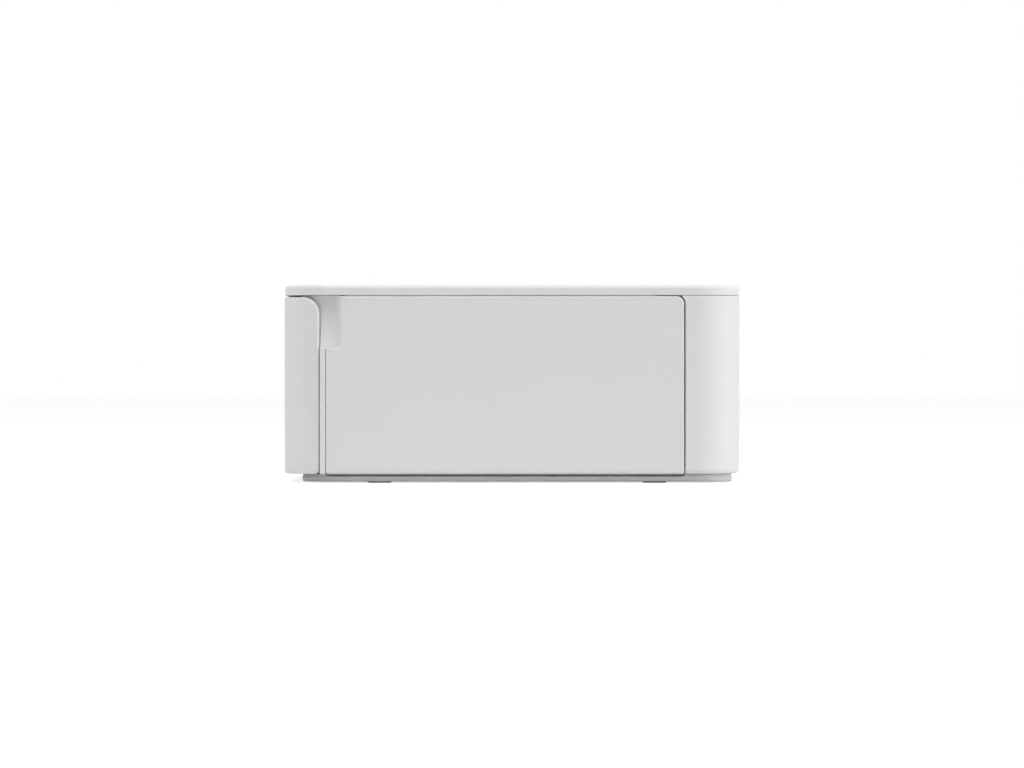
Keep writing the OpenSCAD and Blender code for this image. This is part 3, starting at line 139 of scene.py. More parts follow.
def circle(x, y, radius, fillet, steps=64):
    arms = [Vector((math.cos(a), math.sin(a))) for a in (2 * math.pi * k / steps for k in range(steps))]
    return [(Vector((x, y)) + arm * radius, -arm, -arm, fillet) for arm in arms]


def traced(points):
    """A closed outline through close points (x, y, fillet), with normals from the neighbours."""
    out = []
    for i, (x, y, fillet) in enumerate(points):
        here = Vector((x, y))
        one = (here - Vector(points[i - 1][:2])).normalized()
        two = (Vector(points[(i + 1) % len(points)][:2]) - here).normalized()
        mean = (one + two).normalized()
        normal = Vector((-mean.y, mean.x))
        out.append((here, normal, normal / max(0.6, mean.dot(one)), fillet))
    return out


def hole(outline):
    """The same outline as the edge of a hole."""
    return [(spot, -normal, -normal, fillet) for spot, normal, _, fillet in reversed(outline)]


# ---------- sections: the way from the top cap round the edge to the bottom cap ----------

def path(points):
    """Rings and spans of a section. Points are (inset, height, radius); a radius of 0 is a sharp corner."""
    rings = []
    spans = []
    last = None
    for i, (x, y, radius) in enumerate(points):
        here = Vector((x, y))
        stops = [(here, None)]
        if 0 < i < len(points) - 1 and radius > 0:
            way_in = (here - Vector(points[i - 1][:2])).normalized()
            way_out = (Vector(points[i + 1][:2]) - here).normalized()
            turn = math.atan2(way_in.x * way_out.y - way_in.y * way_out.x, way_in.dot(way_out))
            start = here - way_in * radius * math.tan(abs(turn) / 2)
            centre = start + Vector((-way_in.y, way_in.x)) * math.copysign(radius, turn)
            stops = []
            for k in range(FILLET_STEPS + 1):
                angle = turn * k / FILLET_STEPS
                way = turned(way_in, angle)
                stops.append((centre + turned(start - centre, angle), Vector((way.y, -way.x))))
        for k, (spot, normal) in enumerate(stops):
            if rings and (Vector(rings[-1]) - spot).length < 1e-6:
                last = normal
                continue
            rings.append(tuple(spot))
            if len(rings) > 1:
                way = (spot - Vector(rings[-2])).normalized()
                flat = Vector((way.y, -way.x))
                spans.append((last, normal) if k else (flat, flat))
            last = normal
    return rings, spans


def plain_edge(top, bottom, bottom_fillet=None):
    """A section straight down from top to bottom, with the edge's own fillet at the top."""
    def section(r):
        low = r if bottom_fillet is None else bottom_fillet
        return path([(r, top, 0), (0, top, r), (0, bottom, low), (low, bottom, 0)])
    return section


def panel_edge(thick, inner=0.2):
    """Section of a wall panel: the outer face is at height 0 and has the edge's own fillet."""
    def section(r):
        return path([(r, 0, 0), (0, 0, r), (0, -thick, inner), (inner, -thick, 0)])
    return section


def skin_edge(skin):
    """Section of a thin outer skin. A fillet deeper than the skin is cut off at its back."""
    def section(r):
        turn = math.acos(1 - min(r, skin - 0.05) / r)
        ways = [turn * k / FILLET_STEPS for k in range(FILLET_STEPS + 1)]
        rings = [(r * (1 - math.sin(a)), r * (math.cos(a) - 1)) for a in ways]
        normals = [Vector((-math.sin(a), math.cos(a))) for a in ways]
        end = rings[-1][0]
        spans = list(zip(normals, normals[1:])) + [(Vector((-1, 0)),) * 2, (Vector((0, -1)),) * 2]
        return rings + [(end, -skin), (end + 0.01, -skin)], spans
    return section


def inner_layer(skin):
    """Section of the layer behind a panel's outer skin."""
    return lambda r: path([(0.01, -skin, 0), (0, -skin, 0), (0, -WALL, 0.2), (0.2, -WALL, 0)])


# ---------- meshes ----------

def flat_place(x_axis, y_axis, origin=(0, 0, 0)):
    """Maps a drawing, with its own x and y axes, to a plane. Its height is along their cross product."""
    t, u = Vector(x_axis), Vector(y_axis)
    return lambda s: (Vector(origin) + t * s, t, u, t.cross(u))


UPRIGHT = flat_place((1, 0, 0), (0, 1, 0))
FACING_FRONT = flat_place((1, 0, 0), (0, 0, 1))


class Shape:
    """Closed mesh pieces with exact normals, collected into one object."""

    def __init__(self):
        self.verts = []
        self.faces = []
        self.normals = []

    def slab(self, parts, place=UPRIGHT, cuts=()):
        """parts are (outline, section) pairs, the outer edge first and then the holes."""
        bm = bmesh.new()
        layer = bm.loops.layers.float_vector.new("normal")
        caps = ([], [])
        for outline, section in parts:
            columns = self.columns(bm, outline, section)
            for one, two in zip(columns, columns[1:] + columns[:1]):
                self.strip(bm, layer, one, two)
                for cap, index in zip(caps, (0, -1)):
                    a, b = one[0][index], two[0][index]
                    if a != b:
                        cap.append(bm.edges.get((a, b)) or bm.edges.new((a, b)))
        for cap, up in zip(caps, (1, -1)):
            filled = bmesh.ops.triangle_fill(bm, use_beauty=True, edges=cap, normal=(0, 0, up))
            for made in filled["geom"]:
                if isinstance(made, bmesh.types.BMFace):
                    for corner in made.loops:
                        corner[layer] = Vector((0, 0, up))
        bmesh.ops.recalc_face_normals(bm, faces=bm.faces)
        for cut in cuts:
            everything = bm.verts[:] + bm.edges[:] + bm.faces[:]
            bmesh.ops.bisect_plane(bm, geom=everything, plane_co=(cut, 0, 0), plane_no=(1, 0, 0),
                                   dist=SAME_SPOT)
        self.take(bm, layer, place)
        bm.free()

    def columns(self, bm, outline, section):
        """The section's vertices at every point of the outline; points that fall together share theirs."""
        columns = []
        for spot, normal, inset, fillet in outline:
            rings, spans = section(fillet)
            column = []
            for k, (depth, height) in enumerate(rings):
                co = Vector((*(spot + inset * depth), height))
                near = [done[0][k] for done in (columns[-1:] + columns[:1])
                        if (done[0][k].co - co).length < SAME_SPOT]
                column.append(near[0] if near else bm.verts.new(co))
            columns.append((column, spans, normal))
        return columns

    def strip(self, bm, layer, one, two):
        """The faces between two neighbouring columns."""
        for k, (low, high) in enumerate(zip(one[1], two[1])):
            corners = []
            for column, normal, (start, end) in ((one[0], one[2], low), (two[0], two[2], high)):
                pair = [(column[k], normal, start), (column[k + 1], normal, end)]
                corners += pair if column is one[0] else pair[::-1]
            kept = [c for c, after in zip(corners, corners[1:] + corners[:1]) if c[0] != after[0]]
            if len(kept) < 3:
                continue
            made = bm.faces.new([corner[0] for corner in kept])
            for loop, (_, m, n) in zip(made.loops, kept):
                loop[layer] = Vector((m.x * n.x, m.y * n.x, n.y))

    def take(self, bm, layer, place):
        first = len(self.verts)
        bm.verts.index_update()
        frames = [place(v.co.x) for v in bm.verts]
        for v, (origin, t, u, n) in zip(bm.verts, frames):
            self.verts.append((origin + u * v.co.y + n * v.co.z) * MM)
        for f in bm.faces:
            self.faces.append([first + v.index for v in f.verts])
            for corner in f.loops:
                origin, t, u, n = frames[corner.vert.index]
                local = corner[layer]
                self.normals.append((t * local.x + u * local.y + n * local.z).normalized())

    def relief(self, columns, rows, depth, back, place):
        """A panel with a sculpted face, depth(x, y) below the drawing's plane, and a flat back."""
        bm = bmesh.new()
        layer = bm.loops.layers.float_vector.new("normal")
        face = [[bm.verts.new((x, y, -depth(x, y))) for y in rows] for x in columns]
        rear = [[bm.verts.new((x, y, -back)) for y in rows] for x in columns]

        def slope(vert):
            x, y, d = vert.co.x, vert.co.y, 0.01
            run = (depth(x + d, y) - depth(x - d, y)) / (2 * d)
            rise = (depth(x, y + d) - depth(x, y - d)) / (2 * d)
            return Vector((run, rise, 1)).normalized()

        def quad(corners, normal=None):
            for loop in bm.faces.new(corners).loops:
                loop[layer] = normal or slope(loop.vert)

        for f, g, r, q in zip(face, face[1:], rear, rear[1:]):
            for k in range(len(rows) - 1):
                quad((f[k], g[k], g[k + 1], f[k + 1]))
                quad((r[k], r[k + 1], q[k + 1], q[k]), Vector((0, 0, -1)))
            quad((r[0], q[0], g[0], f[0]), Vector((0, -1, 0)))
            quad((f[-1], g[-1], q[-1], r[-1]), Vector((0, 1, 0)))
        for k in range(len(rows) - 1):
            quad((rear[0][k + 1], rear[0][k], face[0][k], face[0][k + 1]), Vector((-1, 0, 0)))
            quad((rear[-1][k], rear[-1][k + 1], face[-1][k + 1], face[-1][k]), Vector((1, 0, 0)))
        self.take(bm, layer, place)
        bm.free()

    def disc(self, centre, axis, radius, low, high, fillet, steps=48, bore=0):
        """A round piece along an axis letter, from low to high along it."""
        t, u = {"x": ((0, 1, 0), (0, 0, 1)), "y": ((0, 0, 1), (1, 0, 0)), "z": ((1, 0, 0), (0, 1, 0))}[axis]
        along = Vector(t).cross(Vector(u))
        parts = [(circle(0, 0, radius, fillet, steps), plain_edge(high, low))]
        if bore:
            parts.append((hole(circle(0, 0, bore, fillet / 2, steps)), plain_edge(high, low)))
        self.slab(parts, flat_place(t, u, Vector(centre) - along * Vector(centre).dot(along)))

    def brick(self, low, high, fillet):
        """A block between two corners, with rounded edges."""
        self.slab([(block_outline(low[0], high[0], low[1], high[1], fillet * 1.5, fillet),
                    plain_edge(high[2], low[2]))])

    def made(self, name, body, slot, *nodes):
        """The finished object, riding on its body and standing for the CAD nodes."""
        mesh = bpy.data.meshes.new(name)
        mesh.from_pydata([tuple(v) for v in self.verts], [], self.faces)
        for polygon in mesh.polygons:
            polygon.use_smooth = True
        mesh.normals_split_custom_set([tuple(n) for n in self.normals])
        mesh.materials.append(paint[slot])
        piece = bpy.data.objects.new(name, mesh)
        bpy.context.scene.collection.objects.link(piece)
        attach(piece, body)
        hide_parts(*nodes)


# ---------- the outline of the body, as a way round it ----------

FRONT_HALF = HALF_W - CORNER_R
CORNER_L = CORNER_R * math.pi / 2
SIDE_L = 2 * (HALF_D - CORNER_R)
RIGHT_START = FRONT_HALF + CORNER_L
REAR_START = RIGHT_START + SIDE_L + CORNER_L
LEFT_START = REAR_START + 2 * FRONT_HALF + CORNER_L
LEFT_END = LEFT_START + SIDE_L


def round_body(s):
    """Place on the body's face at way s, counted to the right from the middle of the front."""
    legs = [
        (-FRONT_HALF - CORNER_L, (-FRONT_HALF, -HALF_D + CORNER_R), 180, None),
        (-FRONT_HALF, (-FRONT_HALF, -HALF_D), None, (1, 0)),
        (FRONT_HALF, (FRONT_HALF, -HALF_D + CORNER_R), -90, None),
        (RIGHT_START, (HALF_W, -HALF_D + CORNER_R), None, (0, 1)),
        (RIGHT_START + SIDE_L, (FRONT_HALF, HALF_D - CORNER_R), 0, None),
        (REAR_START, (FRONT_HALF, HALF_D), None, (-1, 0)),
        (REAR_START + 2 * FRONT_HALF, (-FRONT_HALF, HALF_D - CORNER_R), 90, None),
        (LEFT_START, (-HALF_W, HALF_D - CORNER_R), None, (0, -1)),
        (LEFT_END, (-FRONT_HALF, -HALF_D + CORNER_R), 180, None),
    ]
    start, anchor, turn, way = [leg for leg in legs if leg[0] <= s + 1e-9][-1]
    up = Vector((0, 0, 1))
    if turn is None:
        t = Vector((*way, 0))
        return Vector((*anchor, 0)) + t * (s - start), t, up, t.cross(up)
    angle = math.radians(turn) + (s - start) / CORNER_R
    n = Vector((math.cos(angle), math.sin(angle), 0))
    return Vector((*anchor, 0)) + n * CORNER_R, Vector((-n.y, n.x, 0)), up, n


def corner_cuts(*starts, count=22):
    return [start + CORNER_L * k / count for start in starts for k in range(count + 1)]


def way_at_front_corner(y):
    """Way along the right front corner at which the body's face has depth y."""
    return FRONT_HALF + CORNER_R * math.acos(max(-1, min(1, (-HALF_D + CORNER_R - y) / CORNER_R)))


# ---------- materials ----------

def node_tree(name):
    material = bpy.data.materials.new(name)
    material.use_nodes = True
    tree = material.node_tree
    return material, tree, tree.nodes["Principled BSDF"]


def add(tree, kind, **inputs):
    node = tree.nodes.new(kind)
    for key, value in inputs.items():
        node.inputs[key.replace("_", " ")].default_value = value
    return node


def noise(tree, scale, detail=3.0, stretch=(1, 1, 1)):
    """Noise in the frame's own metres. Scale is in features a metre."""
    where = tree.nodes.new("ShaderNodeTexCoord")
    mapping = tree.nodes.new("ShaderNodeMapping")
    mapping.inputs["Scale"].default_value = stretch
    tree.links.new(where.outputs["Object"], mapping.inputs["Vector"])
    made = add(tree, "ShaderNodeTexNoise", Scale=scale, Detail=detail)
    tree.links.new(mapping.outputs["Vector"], made.inputs["Vector"])
    return made.outputs["Fac"]


def spread(tree, value, low, high, start=0.3, end=0.7):
    made = tree.nodes.new("ShaderNodeMapRange")
    for key, number in (("From Min", start), ("From Max", end), ("To Min", low), ("To Max", high)):
        made.inputs[key].default_value = number
    tree.links.new(value, made.inputs["Value"])
    return made.outputs["Result"]


def shades(tree, value, dark, light):
    made = tree.nodes.new("ShaderNodeMix")
    made.data_type = "RGBA"
    made.inputs["A"].default_value = (*dark, 1)
    made.inputs["B"].default_value = (*light, 1)
    tree.links.new(value, made.inputs["Factor"])
    return made.outputs["Result"]


def bump(tree, shader, heights):
    """heights are (value, strength, depth in metres) layers, the broadest first."""
    normal = None
    for value, strength, depth in heights:
        made = add(tree, "ShaderNodeBump", Strength=strength, Distance=depth)
        tree.links.new(value, made.inputs["Height"])
        if normal:
            tree.links.new(normal, made.inputs["Normal"])
        normal = made.outputs["Normal"]
    tree.links.new(normal, shader.inputs["Normal"])


def moulded(name, colour, rough, grain=3600, depth=0.00002, vary=0.02, gloss=0.5):
    """Moulded plastic: fine spark-eroded grain, a slow flow of tone, and roughness that wanders a little."""
    material, tree, shader = node_tree(name)
    slow = noise(tree, 14, 2)
    fine = noise(tree, grain, 3)
    dark = [c * (1 - vary) for c in colour]
    light = [min(1, c * (1 + vary)) for c in colour]
    tone = spread(tree, slow, 0, 1)
    tree.links.new(shades(tree, tone, dark, light), shader.inputs["Base Color"])
    tree.links.new(spread(tree, fine, rough - 0.04, rough + 0.05), shader.inputs["Roughness"])
    shader.inputs["Specular IOR Level"].default_value = gloss
    bump(tree, shader, [(slow, 0.15, 0.0002), (fine, 0.35, depth)])
    return material


def brushed(name, colour, rough, stretch):
    """Sheet metal with a drawn finish along one axis."""
    material, tree, shader = node_tree(name)
    lines = noise(tree, 900, 2, stretch)
    slow = noise(tree, 25, 2)
    tone = spread(tree, slow, 0, 1)
    dark = [c * 0.88 for c in colour]
    tree.links.new(shades(tree, tone, dark, colour), shader.inputs["Base Color"])
    tree.links.new(spread(tree, lines, rough - 0.06, rough + 0.1), shader.inputs["Roughness"])
    shader.inputs["Metallic"].default_value = 1.0
    bump(tree, shader, [(lines, 0.3, 0.00003)])
    return material


def circuit(name):
    """Solder resist over copper: short straight traces, pads and a slightly mottled green."""
    material, tree, shader = node_tree(name)
    where = tree.nodes.new("ShaderNodeTexCoord")
    brick = add(tree, "ShaderNodeTexBrick", Scale=420.0, Color1=(0.01, 0.13, 0.06, 1),
                Color2=(0.015, 0.18, 0.08, 1), Mortar=(0.03, 0.26, 0.12, 1))
    brick.inputs["Mortar Size"].default_value = 0.06
    tree.links.new(where.outputs["Object"], brick.inputs["Vector"])
    dots = add(tree, "ShaderNodeTexVoronoi", Scale=520.0, Randomness=0.25)
    tree.links.new(where.outputs["Object"], dots.inputs["Vector"])
    pad = spread(tree, dots.outputs["Distance"], 1, 0, 0.10, 0.16)
    mix = tree.nodes.new("ShaderNodeMix")
    mix.data_type = "RGBA"
    mix.inputs["B"].default_value = (0.75, 0.62, 0.33, 1)
    tree.links.new(pad, mix.inputs["Factor"])
    tree.links.new(brick.outputs["Color"], mix.inputs["A"])
    tree.links.new(mix.outputs["Result"], shader.inputs["Base Color"])
    tree.links.new(pad, shader.inputs["Metallic"])
    shader.inputs["Roughness"].default_value = 0.32
    bump(tree, shader, [(brick.outputs["Fac"], 0.4, 0.00004)])
    return material


WHITE = (0.80, 0.80, 0.80)
paint = {
    "white_shell": moulded("white_shell", WHITE, 0.5, vary=0.008, gloss=0.3),
    "base_plastic": moulded("base_plastic", (0.68, 0.68, 0.68), 0.5, vary=0.02, gloss=0.3),
    "liner_plastic": moulded("liner_plastic", (0.50, 0.51, 0.53), 0.45),
    "key_white": moulded("key_white", (0.82, 0.82, 0.82), 0.28, grain=5200, depth=0.000008, vary=0.006),
    "black_lens": moulded("black_lens", (0.010, 0.010, 0.011), 0.12, grain=9000, depth=0.000001),
    "black_plastic": moulded("black_plastic", (0.035, 0.035, 0.038), 0.42, depth=0.00004, vary=0.1),
    "foot_rubber": moulded("foot_rubber", (0.032, 0.032, 0.032), 0.75, grain=2600, depth=0.00006, vary=0.15),
    "roller_rubber": moulded("roller_rubber", (0.03, 0.03, 0.032), 0.6, grain=5000, depth=0.00003, vary=0.1),
    "steel": brushed("steel", (0.60, 0.61, 0.62), 0.3, (1, 1, 14)),
    "aluminium": brushed("aluminium", (0.72, 0.73, 0.74), 0.34, (14, 1, 1)),
    "circuit_board": circuit("circuit_board"),
    "brass": brushed("brass", (0.72, 0.52, 0.22), 0.28, (14, 1, 1)),
    "nylon": moulded("nylon", (0.80, 0.77, 0.68), 0.45, vary=0.03),
    "ink": moulded("ink", (0.16, 0.03, 0.18), 0.18, grain=1500, depth=0.000006, vary=0.2),
    "cable": moulded("cable", (0.74, 0.71, 0.62), 0.4, vary=0.03),
    "lever_plastic": moulded("lever_plastic", (0.07, 0.22, 0.42), 0.38, vary=0.04),
}
for entry in frame["record"]["subparts"]:
    node = frame["nodes"][entry["node"]]
    node.data.materials.clear()
    node.data.materials.append(paint[entry["material_slot"]])


# ---------- the ink door's edge, and the lips that the lid and the frame have behind it ----------

DOOR_SKIN = 0.65
DOOR_FRONT = DOOR_LOW.y - 0.15
DOOR_REAR = DOOR_HIGH.y + 0.08
DOOR_TOP = DOOR_HIGH.z + 0.1
DOOR_CORNER_R = 2.2
DOOR_GAP = 0.34
REBATE = 1.0
LIP_W = REBATE - 0.2
LIP_OUT = HALF_W - DOOR_SKIN - 0.1
LIP_IN = HALF_W - WALL + 0.05


# ---------- the top plate ----------

LENS_R = 3.1
LEDGE_IN = 4
KEY_GAP = 0.3
RING_GAP = 0.4
FLANGE_W = 1.1
FLANGE_T = 0.8
STEM_R = 1.2
RING_HOLE_R = 7.0
ROUND_KEYS = ("power_button", "back_button", "menu_button")


def key_radius(node):
    """Radius of a round key's cap; the flange below is wider."""
    low, high = size(node)
    return (high.x - low.x) / 2 - FLANGE_W


def pill(margin, fillet):
    """Outline of the print button's cap."""
    low, high = size("print_button")
    grow = margin - FLANGE_W
    radius = (high.y - low.y) / 2 + grow - 0.01
    return block_outline(low.x - grow, high.x + grow, low.y - grow, high.y + grow, radius, fillet)


def lens_outline(margin, radius, fillet):
    return block_outline(LENS_LOW.x - margin, LENS_HIGH.x + margin, LENS_LOW.y - margin, LENS_HIGH.y + margin,
                         radius, fillet)


def make_lid():
    lid = Shape()

    def rim(r):
        return path([(r, TOP, 0), (0, TOP, r), (0, LID_Z, 0.25), (WALL, LID_Z, 0.2), (WALL, DECK_Z, 0),
                     (WALL + 0.5, DECK_Z, 0)])

    ring, ring_r = middle("dpad_ring"), size("dpad_ring")[1].x - middle("dpad_ring").x
    holes = [lens_outline(0.1, LENS_R, 0.2), pill(KEY_GAP, 0.3),
             circle(ring.x, ring.y, ring_r + RING_GAP, 0.3, 96)]
    for name in ROUND_KEYS:
        key = middle(name)
        holes.append(circle(key.x, key.y, key_radius(name) + KEY_GAP, 0.3, 48))
    through = plain_edge(TOP, DECK_Z, 0.1)
    lid.slab([(block_outline(-HALF_W, HALF_W, LID_LOW.y, HALF_D, CORNER_R, 1.15), rim)]
             + [(hole(edge), through) for edge in holes])
    ledge = plain_edge(LENS_LOW.z - 0.01, DECK_Z)
    lid.slab([(lens_outline(0.15, LENS_R, 0.05), ledge), (hole(lens_outline(-LEDGE_IN, 0.5, 0.05)), ledge)])
    lip_end = HINGES["ink_door_hinge"].y - 2
    lid.brick((LIP_IN, NOTCH_Y + 2, DOOR_TOP - LIP_W), (LIP_OUT, lip_end, LID_Z + 0.2), 0.1)
    lid.made("lid", "casing", "white_shell", "top_plate")


def make_lens():
    lens = Shape()
    lens.slab([(lens_outline(0, 3.0, 0.3), plain_edge(LENS_HIGH.z, LENS_LOW.z, 0.05))])
    lens.made("lens", "casing", "black_lens", "screen_lens")


# ---------- the keys ----------

def make_round_key(node):
    low, high = size(node)
    spot, radius = middle(node), key_radius(node)
    flange = DECK_Z - 0.2 - FLANGE_T
    key = Shape()
    key.disc(spot, "z", radius, flange, high.z, 0.4)
    key.disc(spot, "z", radius + FLANGE_W, flange, flange + FLANGE_T, 0.1)
    key.disc(spot, "z", STEM_R, low.z, flange + 0.1, 0.1, 24)
    key.made(node.replace("button", "key"), node, "key_white", node)


def make_ok_key():
    low, high = size("ok_button")
    key = Shape()
    key.disc(middle("ok_button"), "z", (high.x - low.x) / 2, low.z, high.z, 0.4, 64)
    key.made("ok_key", "ok_button", "key_white", "ok_button")


def make_print_key():
    low, high = size("print_button")
    flange = DECK_Z - 0.2 - FLANGE_T
    key = Shape()
    key.slab([(pill(0, 0.5), plain_edge(high.z, flange, 0.1))])
    key.slab([(pill(FLANGE_W, 0.1), plain_edge(flange + FLANGE_T, flange))])
    key.disc(middle("print_button"), "z", STEM_R, low.z, flange + 0.1, 0.1, 24)
    key.made("print_key", "print_button", "key_white", "print_button")


LUG_Y = 12.5
LUG_HALF_W = 1.4
LUG_HALF_T = 0.6
RING_STEM_R = 0.9


def make_ring():
    """The direction ring, with the lugs and stems under it."""
    low, high = size("dpad_ring")
    centre = middle("dpad_ring")
    radius = high.x - centre.x
    floor = low.z + 2.75
    ring = Shape()
    ring.slab([(circle(centre.x, centre.y, radius, 0.6, 96), plain_edge(high.z, floor, 0.1)),
               (hole(circle(centre.x, centre.y, RING_HOLE_R, 0.4, 64)), plain_edge(high.z, floor, 0.1))])
    pivot = low.z + 0.95
    for side in (-1, 1):
        y = centre.y + side * LUG_Y
        lug = block_outline(centre.x - LUG_HALF_W, centre.x + LUG_HALF_W, low.z, floor + 0.2, 0.2, 0.1)
        pin = circle(centre.x, pivot, 0.65, 0.05, 24)
        through = plain_edge(LUG_HALF_T - y, -LUG_HALF_T - y)
        ring.slab([(lug, through), (hole(pin), through)], FACING_FRONT)
        for x, y in ((side * (radius - 2), 0), (0, side * (radius - 2))):
            stem = (centre.x + x, centre.y + y, 0)
            ring.disc(stem, "z", RING_STEM_R, low.z + 0.25 + 1.4, floor + 0.2, 0.1, 24)
    ring.made("ring_key", "dpad_ring", "key_white", "dpad_ring")


# ---------- the housing ----------

def right_way(y):
    """Way round the body to a point of its right side."""
    return RIGHT_START + y + HALF_D - CORNER_R


def rear_way(x):
    """Way round the body to a point of its rear wall."""
    return REAR_START + FRONT_HALF - x


def left_way(y):
    """Way round the body to a point of its left wall."""
    return LEFT_START + HALF_D - CORNER_R - y


def rear_block(x0, x1, z0, z1, radius, fillet):
    return block_outline(rear_way(x1), rear_way(x0), z0, z1, radius, fillet)


def left_block(y0, y1, z0, z1, radius, fillet):
    return block_outline(left_way(y1), left_way(y0), z0, z1, radius, fillet)


VENTS = 7
VENT_PITCH = 3.0
VENT_HALF_W = 0.8
VENT_HALF_H = 10
COLUMNS = ((-83.6, 59.0), (83.6, 59.0), (-86.0, -48.0))
FRAME_COLUMN = (80.0, PLATE_REAR + 3.3)
COLUMN_R = 3.8
COLUMN_FOOT = 4.7
COLUMN_BORE = 1.05
LOCK_HALF = (3.5, 1.5)
JACK_HOLE_R = 4.1
CARD_HALF = (12.4, 1.4)
USB_HALF = (4.6, 1.7)
SOCKET_RAIL = (40.2, 42.2)


def housing_holes():
    slot_low, slot_high = OPENINGS["rear_paper_slot"]
    battery_low, battery_high = size("battery_cover")
    jack, lock, fan = MOUNTS["dc_input"], MOUNTS["lock_slot"], middle("fan_frame")
    card, usb = MOUNTS["card_socket"], MOUNTS["usb_socket"]
    holes = [
        rear_block(slot_low.x - 0.5, slot_high.x + 0.5, slot_low.z - 0.2, slot_high.z + 0.2, 0.8, 0.4),
        rear_block(battery_low.x - SEAM, battery_high.x + SEAM, battery_low.z + 1.4, battery_high.z - 1.4,
                   1, 0.3),
        rear_block(lock.x - LOCK_HALF[0], lock.x + LOCK_HALF[0], lock.z - LOCK_HALF[1], lock.z + LOCK_HALF[1],
                   1.4, 0.3),
        circle(rear_way(jack.x), jack.z, JACK_HOLE_R, 0.3, 40),
        left_block(card.y - CARD_HALF[0], card.y + CARD_HALF[0], card.z - CARD_HALF[1], card.z + CARD_HALF[1],
                   0.4, 0.25),
        left_block(usb.y - USB_HALF[0], usb.y + USB_HALF[0], usb.z - USB_HALF[1], usb.z + USB_HALF[1],
                   1.4, 0.25),
    ]
    for i in range(VENTS):
        x = fan.x + VENT_PITCH * (i - (VENTS - 1) / 2)
        holes.append(rear_block(x - VENT_HALF_W, x + VENT_HALF_W, fan.z - VENT_HALF_H, fan.z + VENT_HALF_H,
                                0.75, 0.25))
    return holes


def make_housing():
    """The wall that runs from behind the ink door round the rear to the front frame."""
    shell = Shape()
    start = right_way(DOOR_REAR + DOOR_GAP)
    end = left_way(PLATE_REAR + SEAM)
    arc_r = DOOR_CORNER_R + DOOR_GAP
    arc_z = DOOR_TOP - DOOR_CORNER_R
    arc = [(start - arc_r * (1 - math.cos(a)), arc_z + arc_r * math.sin(a), 0.05, 0.15)
           for a in (math.radians(10 * k) for k in range(5, -1, -1))]
    outer = rounded([(start, SKIRT, 0.35, 1.5), (end, SKIRT, 0.35, 0.25), (end, SHELL_TOP, 0.35, 0.3),
                     (start + 1, SHELL_TOP, 0.3, 0.12), (arc[0][0], SHELL_TOP, 0.1, 0.12)]
                    + arc[:-1] + [(start, arc_z, 0.05, 0.4)])
    openings = [(hole(edge), panel_edge(WALL, 0.1)) for edge in housing_holes()]
    shell.slab([(outer, panel_edge(WALL))] + openings,
               round_body, corner_cuts(RIGHT_START + SIDE_L, REAR_START + 2 * FRONT_HALF))
    for x, y in COLUMNS:
        shell.disc((x, y, 0), "z", COLUMN_R, COLUMN_FOOT, SHELL_TOP, 0.2, bore=COLUMN_BORE)
    low, high = SOCKET_RAIL
    for socket in (MOUNTS["card_socket"], MOUNTS["usb_socket"]):
        shell.brick((-HALF_W + 1.5, socket.y - 3, low), (-HALF_W + 6, socket.y + 3, high), 0.2)
    shell.made("housing", "casing", "white_shell", "main_housing")


def make_battery_cover():
    low, high = size("battery_cover")
    lid = Shape()
    face = block_outline(rear_way(high.x), rear_way(low.x), low.z + 1.5, high.z - 1.5, 0.9, 0.35)
    lid.slab([(face, plain_edge(-0.2, -WALL, 0.1))], round_body)
    lid.brick((low.x + 3, low.y, low.z), (high.x - 3, HALF_D - WALL + 0.1, high.z), 0.5)
    lid.made("battery_lid", "casing", "white_shell", "battery_cover")


# ---------- the front cover ----------

COVER_REAR = COVER_HIGH.y + 0.1
COVER_TOP = COVER_HIGH.z + 0.1
COVER_SETBACK = 0.3
COVER_TOE_R = 1.4
COVER_CROWN_R = 5.2
COVER_HINGE_X = 60.0
COVER_CATCH_X = 30
COVER_KNUCKLE_R = 1.55
COVER_KNUCKLE_HALF = 2.7
COVER_SKIN = 1.3


def cover_corner(radius, top, rear):
    """The cover's right rear corner as it looks square from the side, from bottom to top."""
    points = []
    for k in range(13):
        angle = math.radians(90) * k / 12
        if top:
            y, z = math.cos(angle) - 1, COVER_TOP - radius * (1 - math.sin(angle))
        else:
            y, z = math.sin(angle) - 1, COVER_LOW.z + radius * (1 - math.cos(angle))
        points.append((way_at_front_corner(rear + radius * y), z))
    return points


def cover_outline(pockets):
    """The front cover laid flat. Its inner layer has pockets for the frame's hinge arms, and its rear edge
    stands back from the frame's plate."""
    rear = COVER_REAR - COVER_SETBACK if pockets else COVER_REAR
    toe, crown = cover_corner(COVER_TOE_R, False, rear), cover_corner(COVER_CROWN_R, True, rear)
    low, high = toe[-1][1], crown[0][1]
    rise = [(crown[0][0], low + (high - low) * k / 12) for k in range(1, 12)]
    right = [(s, z, 0.6) for s, z in toe + rise + crown[:-1]]
    left = [(-s, z, r) for s, z, r in reversed(right)]
    top = [(FRONT_HALF * k / 6, COVER_TOP, 0.45) for k in range(6, -7, -1)]
    steps = ((-7.35, 0), (-7.3, 3.5), (7.3, 3.5), (7.35, 0)) if pockets else ((-7, 0), (7, 0))
    foot = [(side * COVER_HINGE_X + x, COVER_LOW.z + z, 0.5) for side in (-1, 1) for x, z in steps]
    return traced(right + top + left + foot)


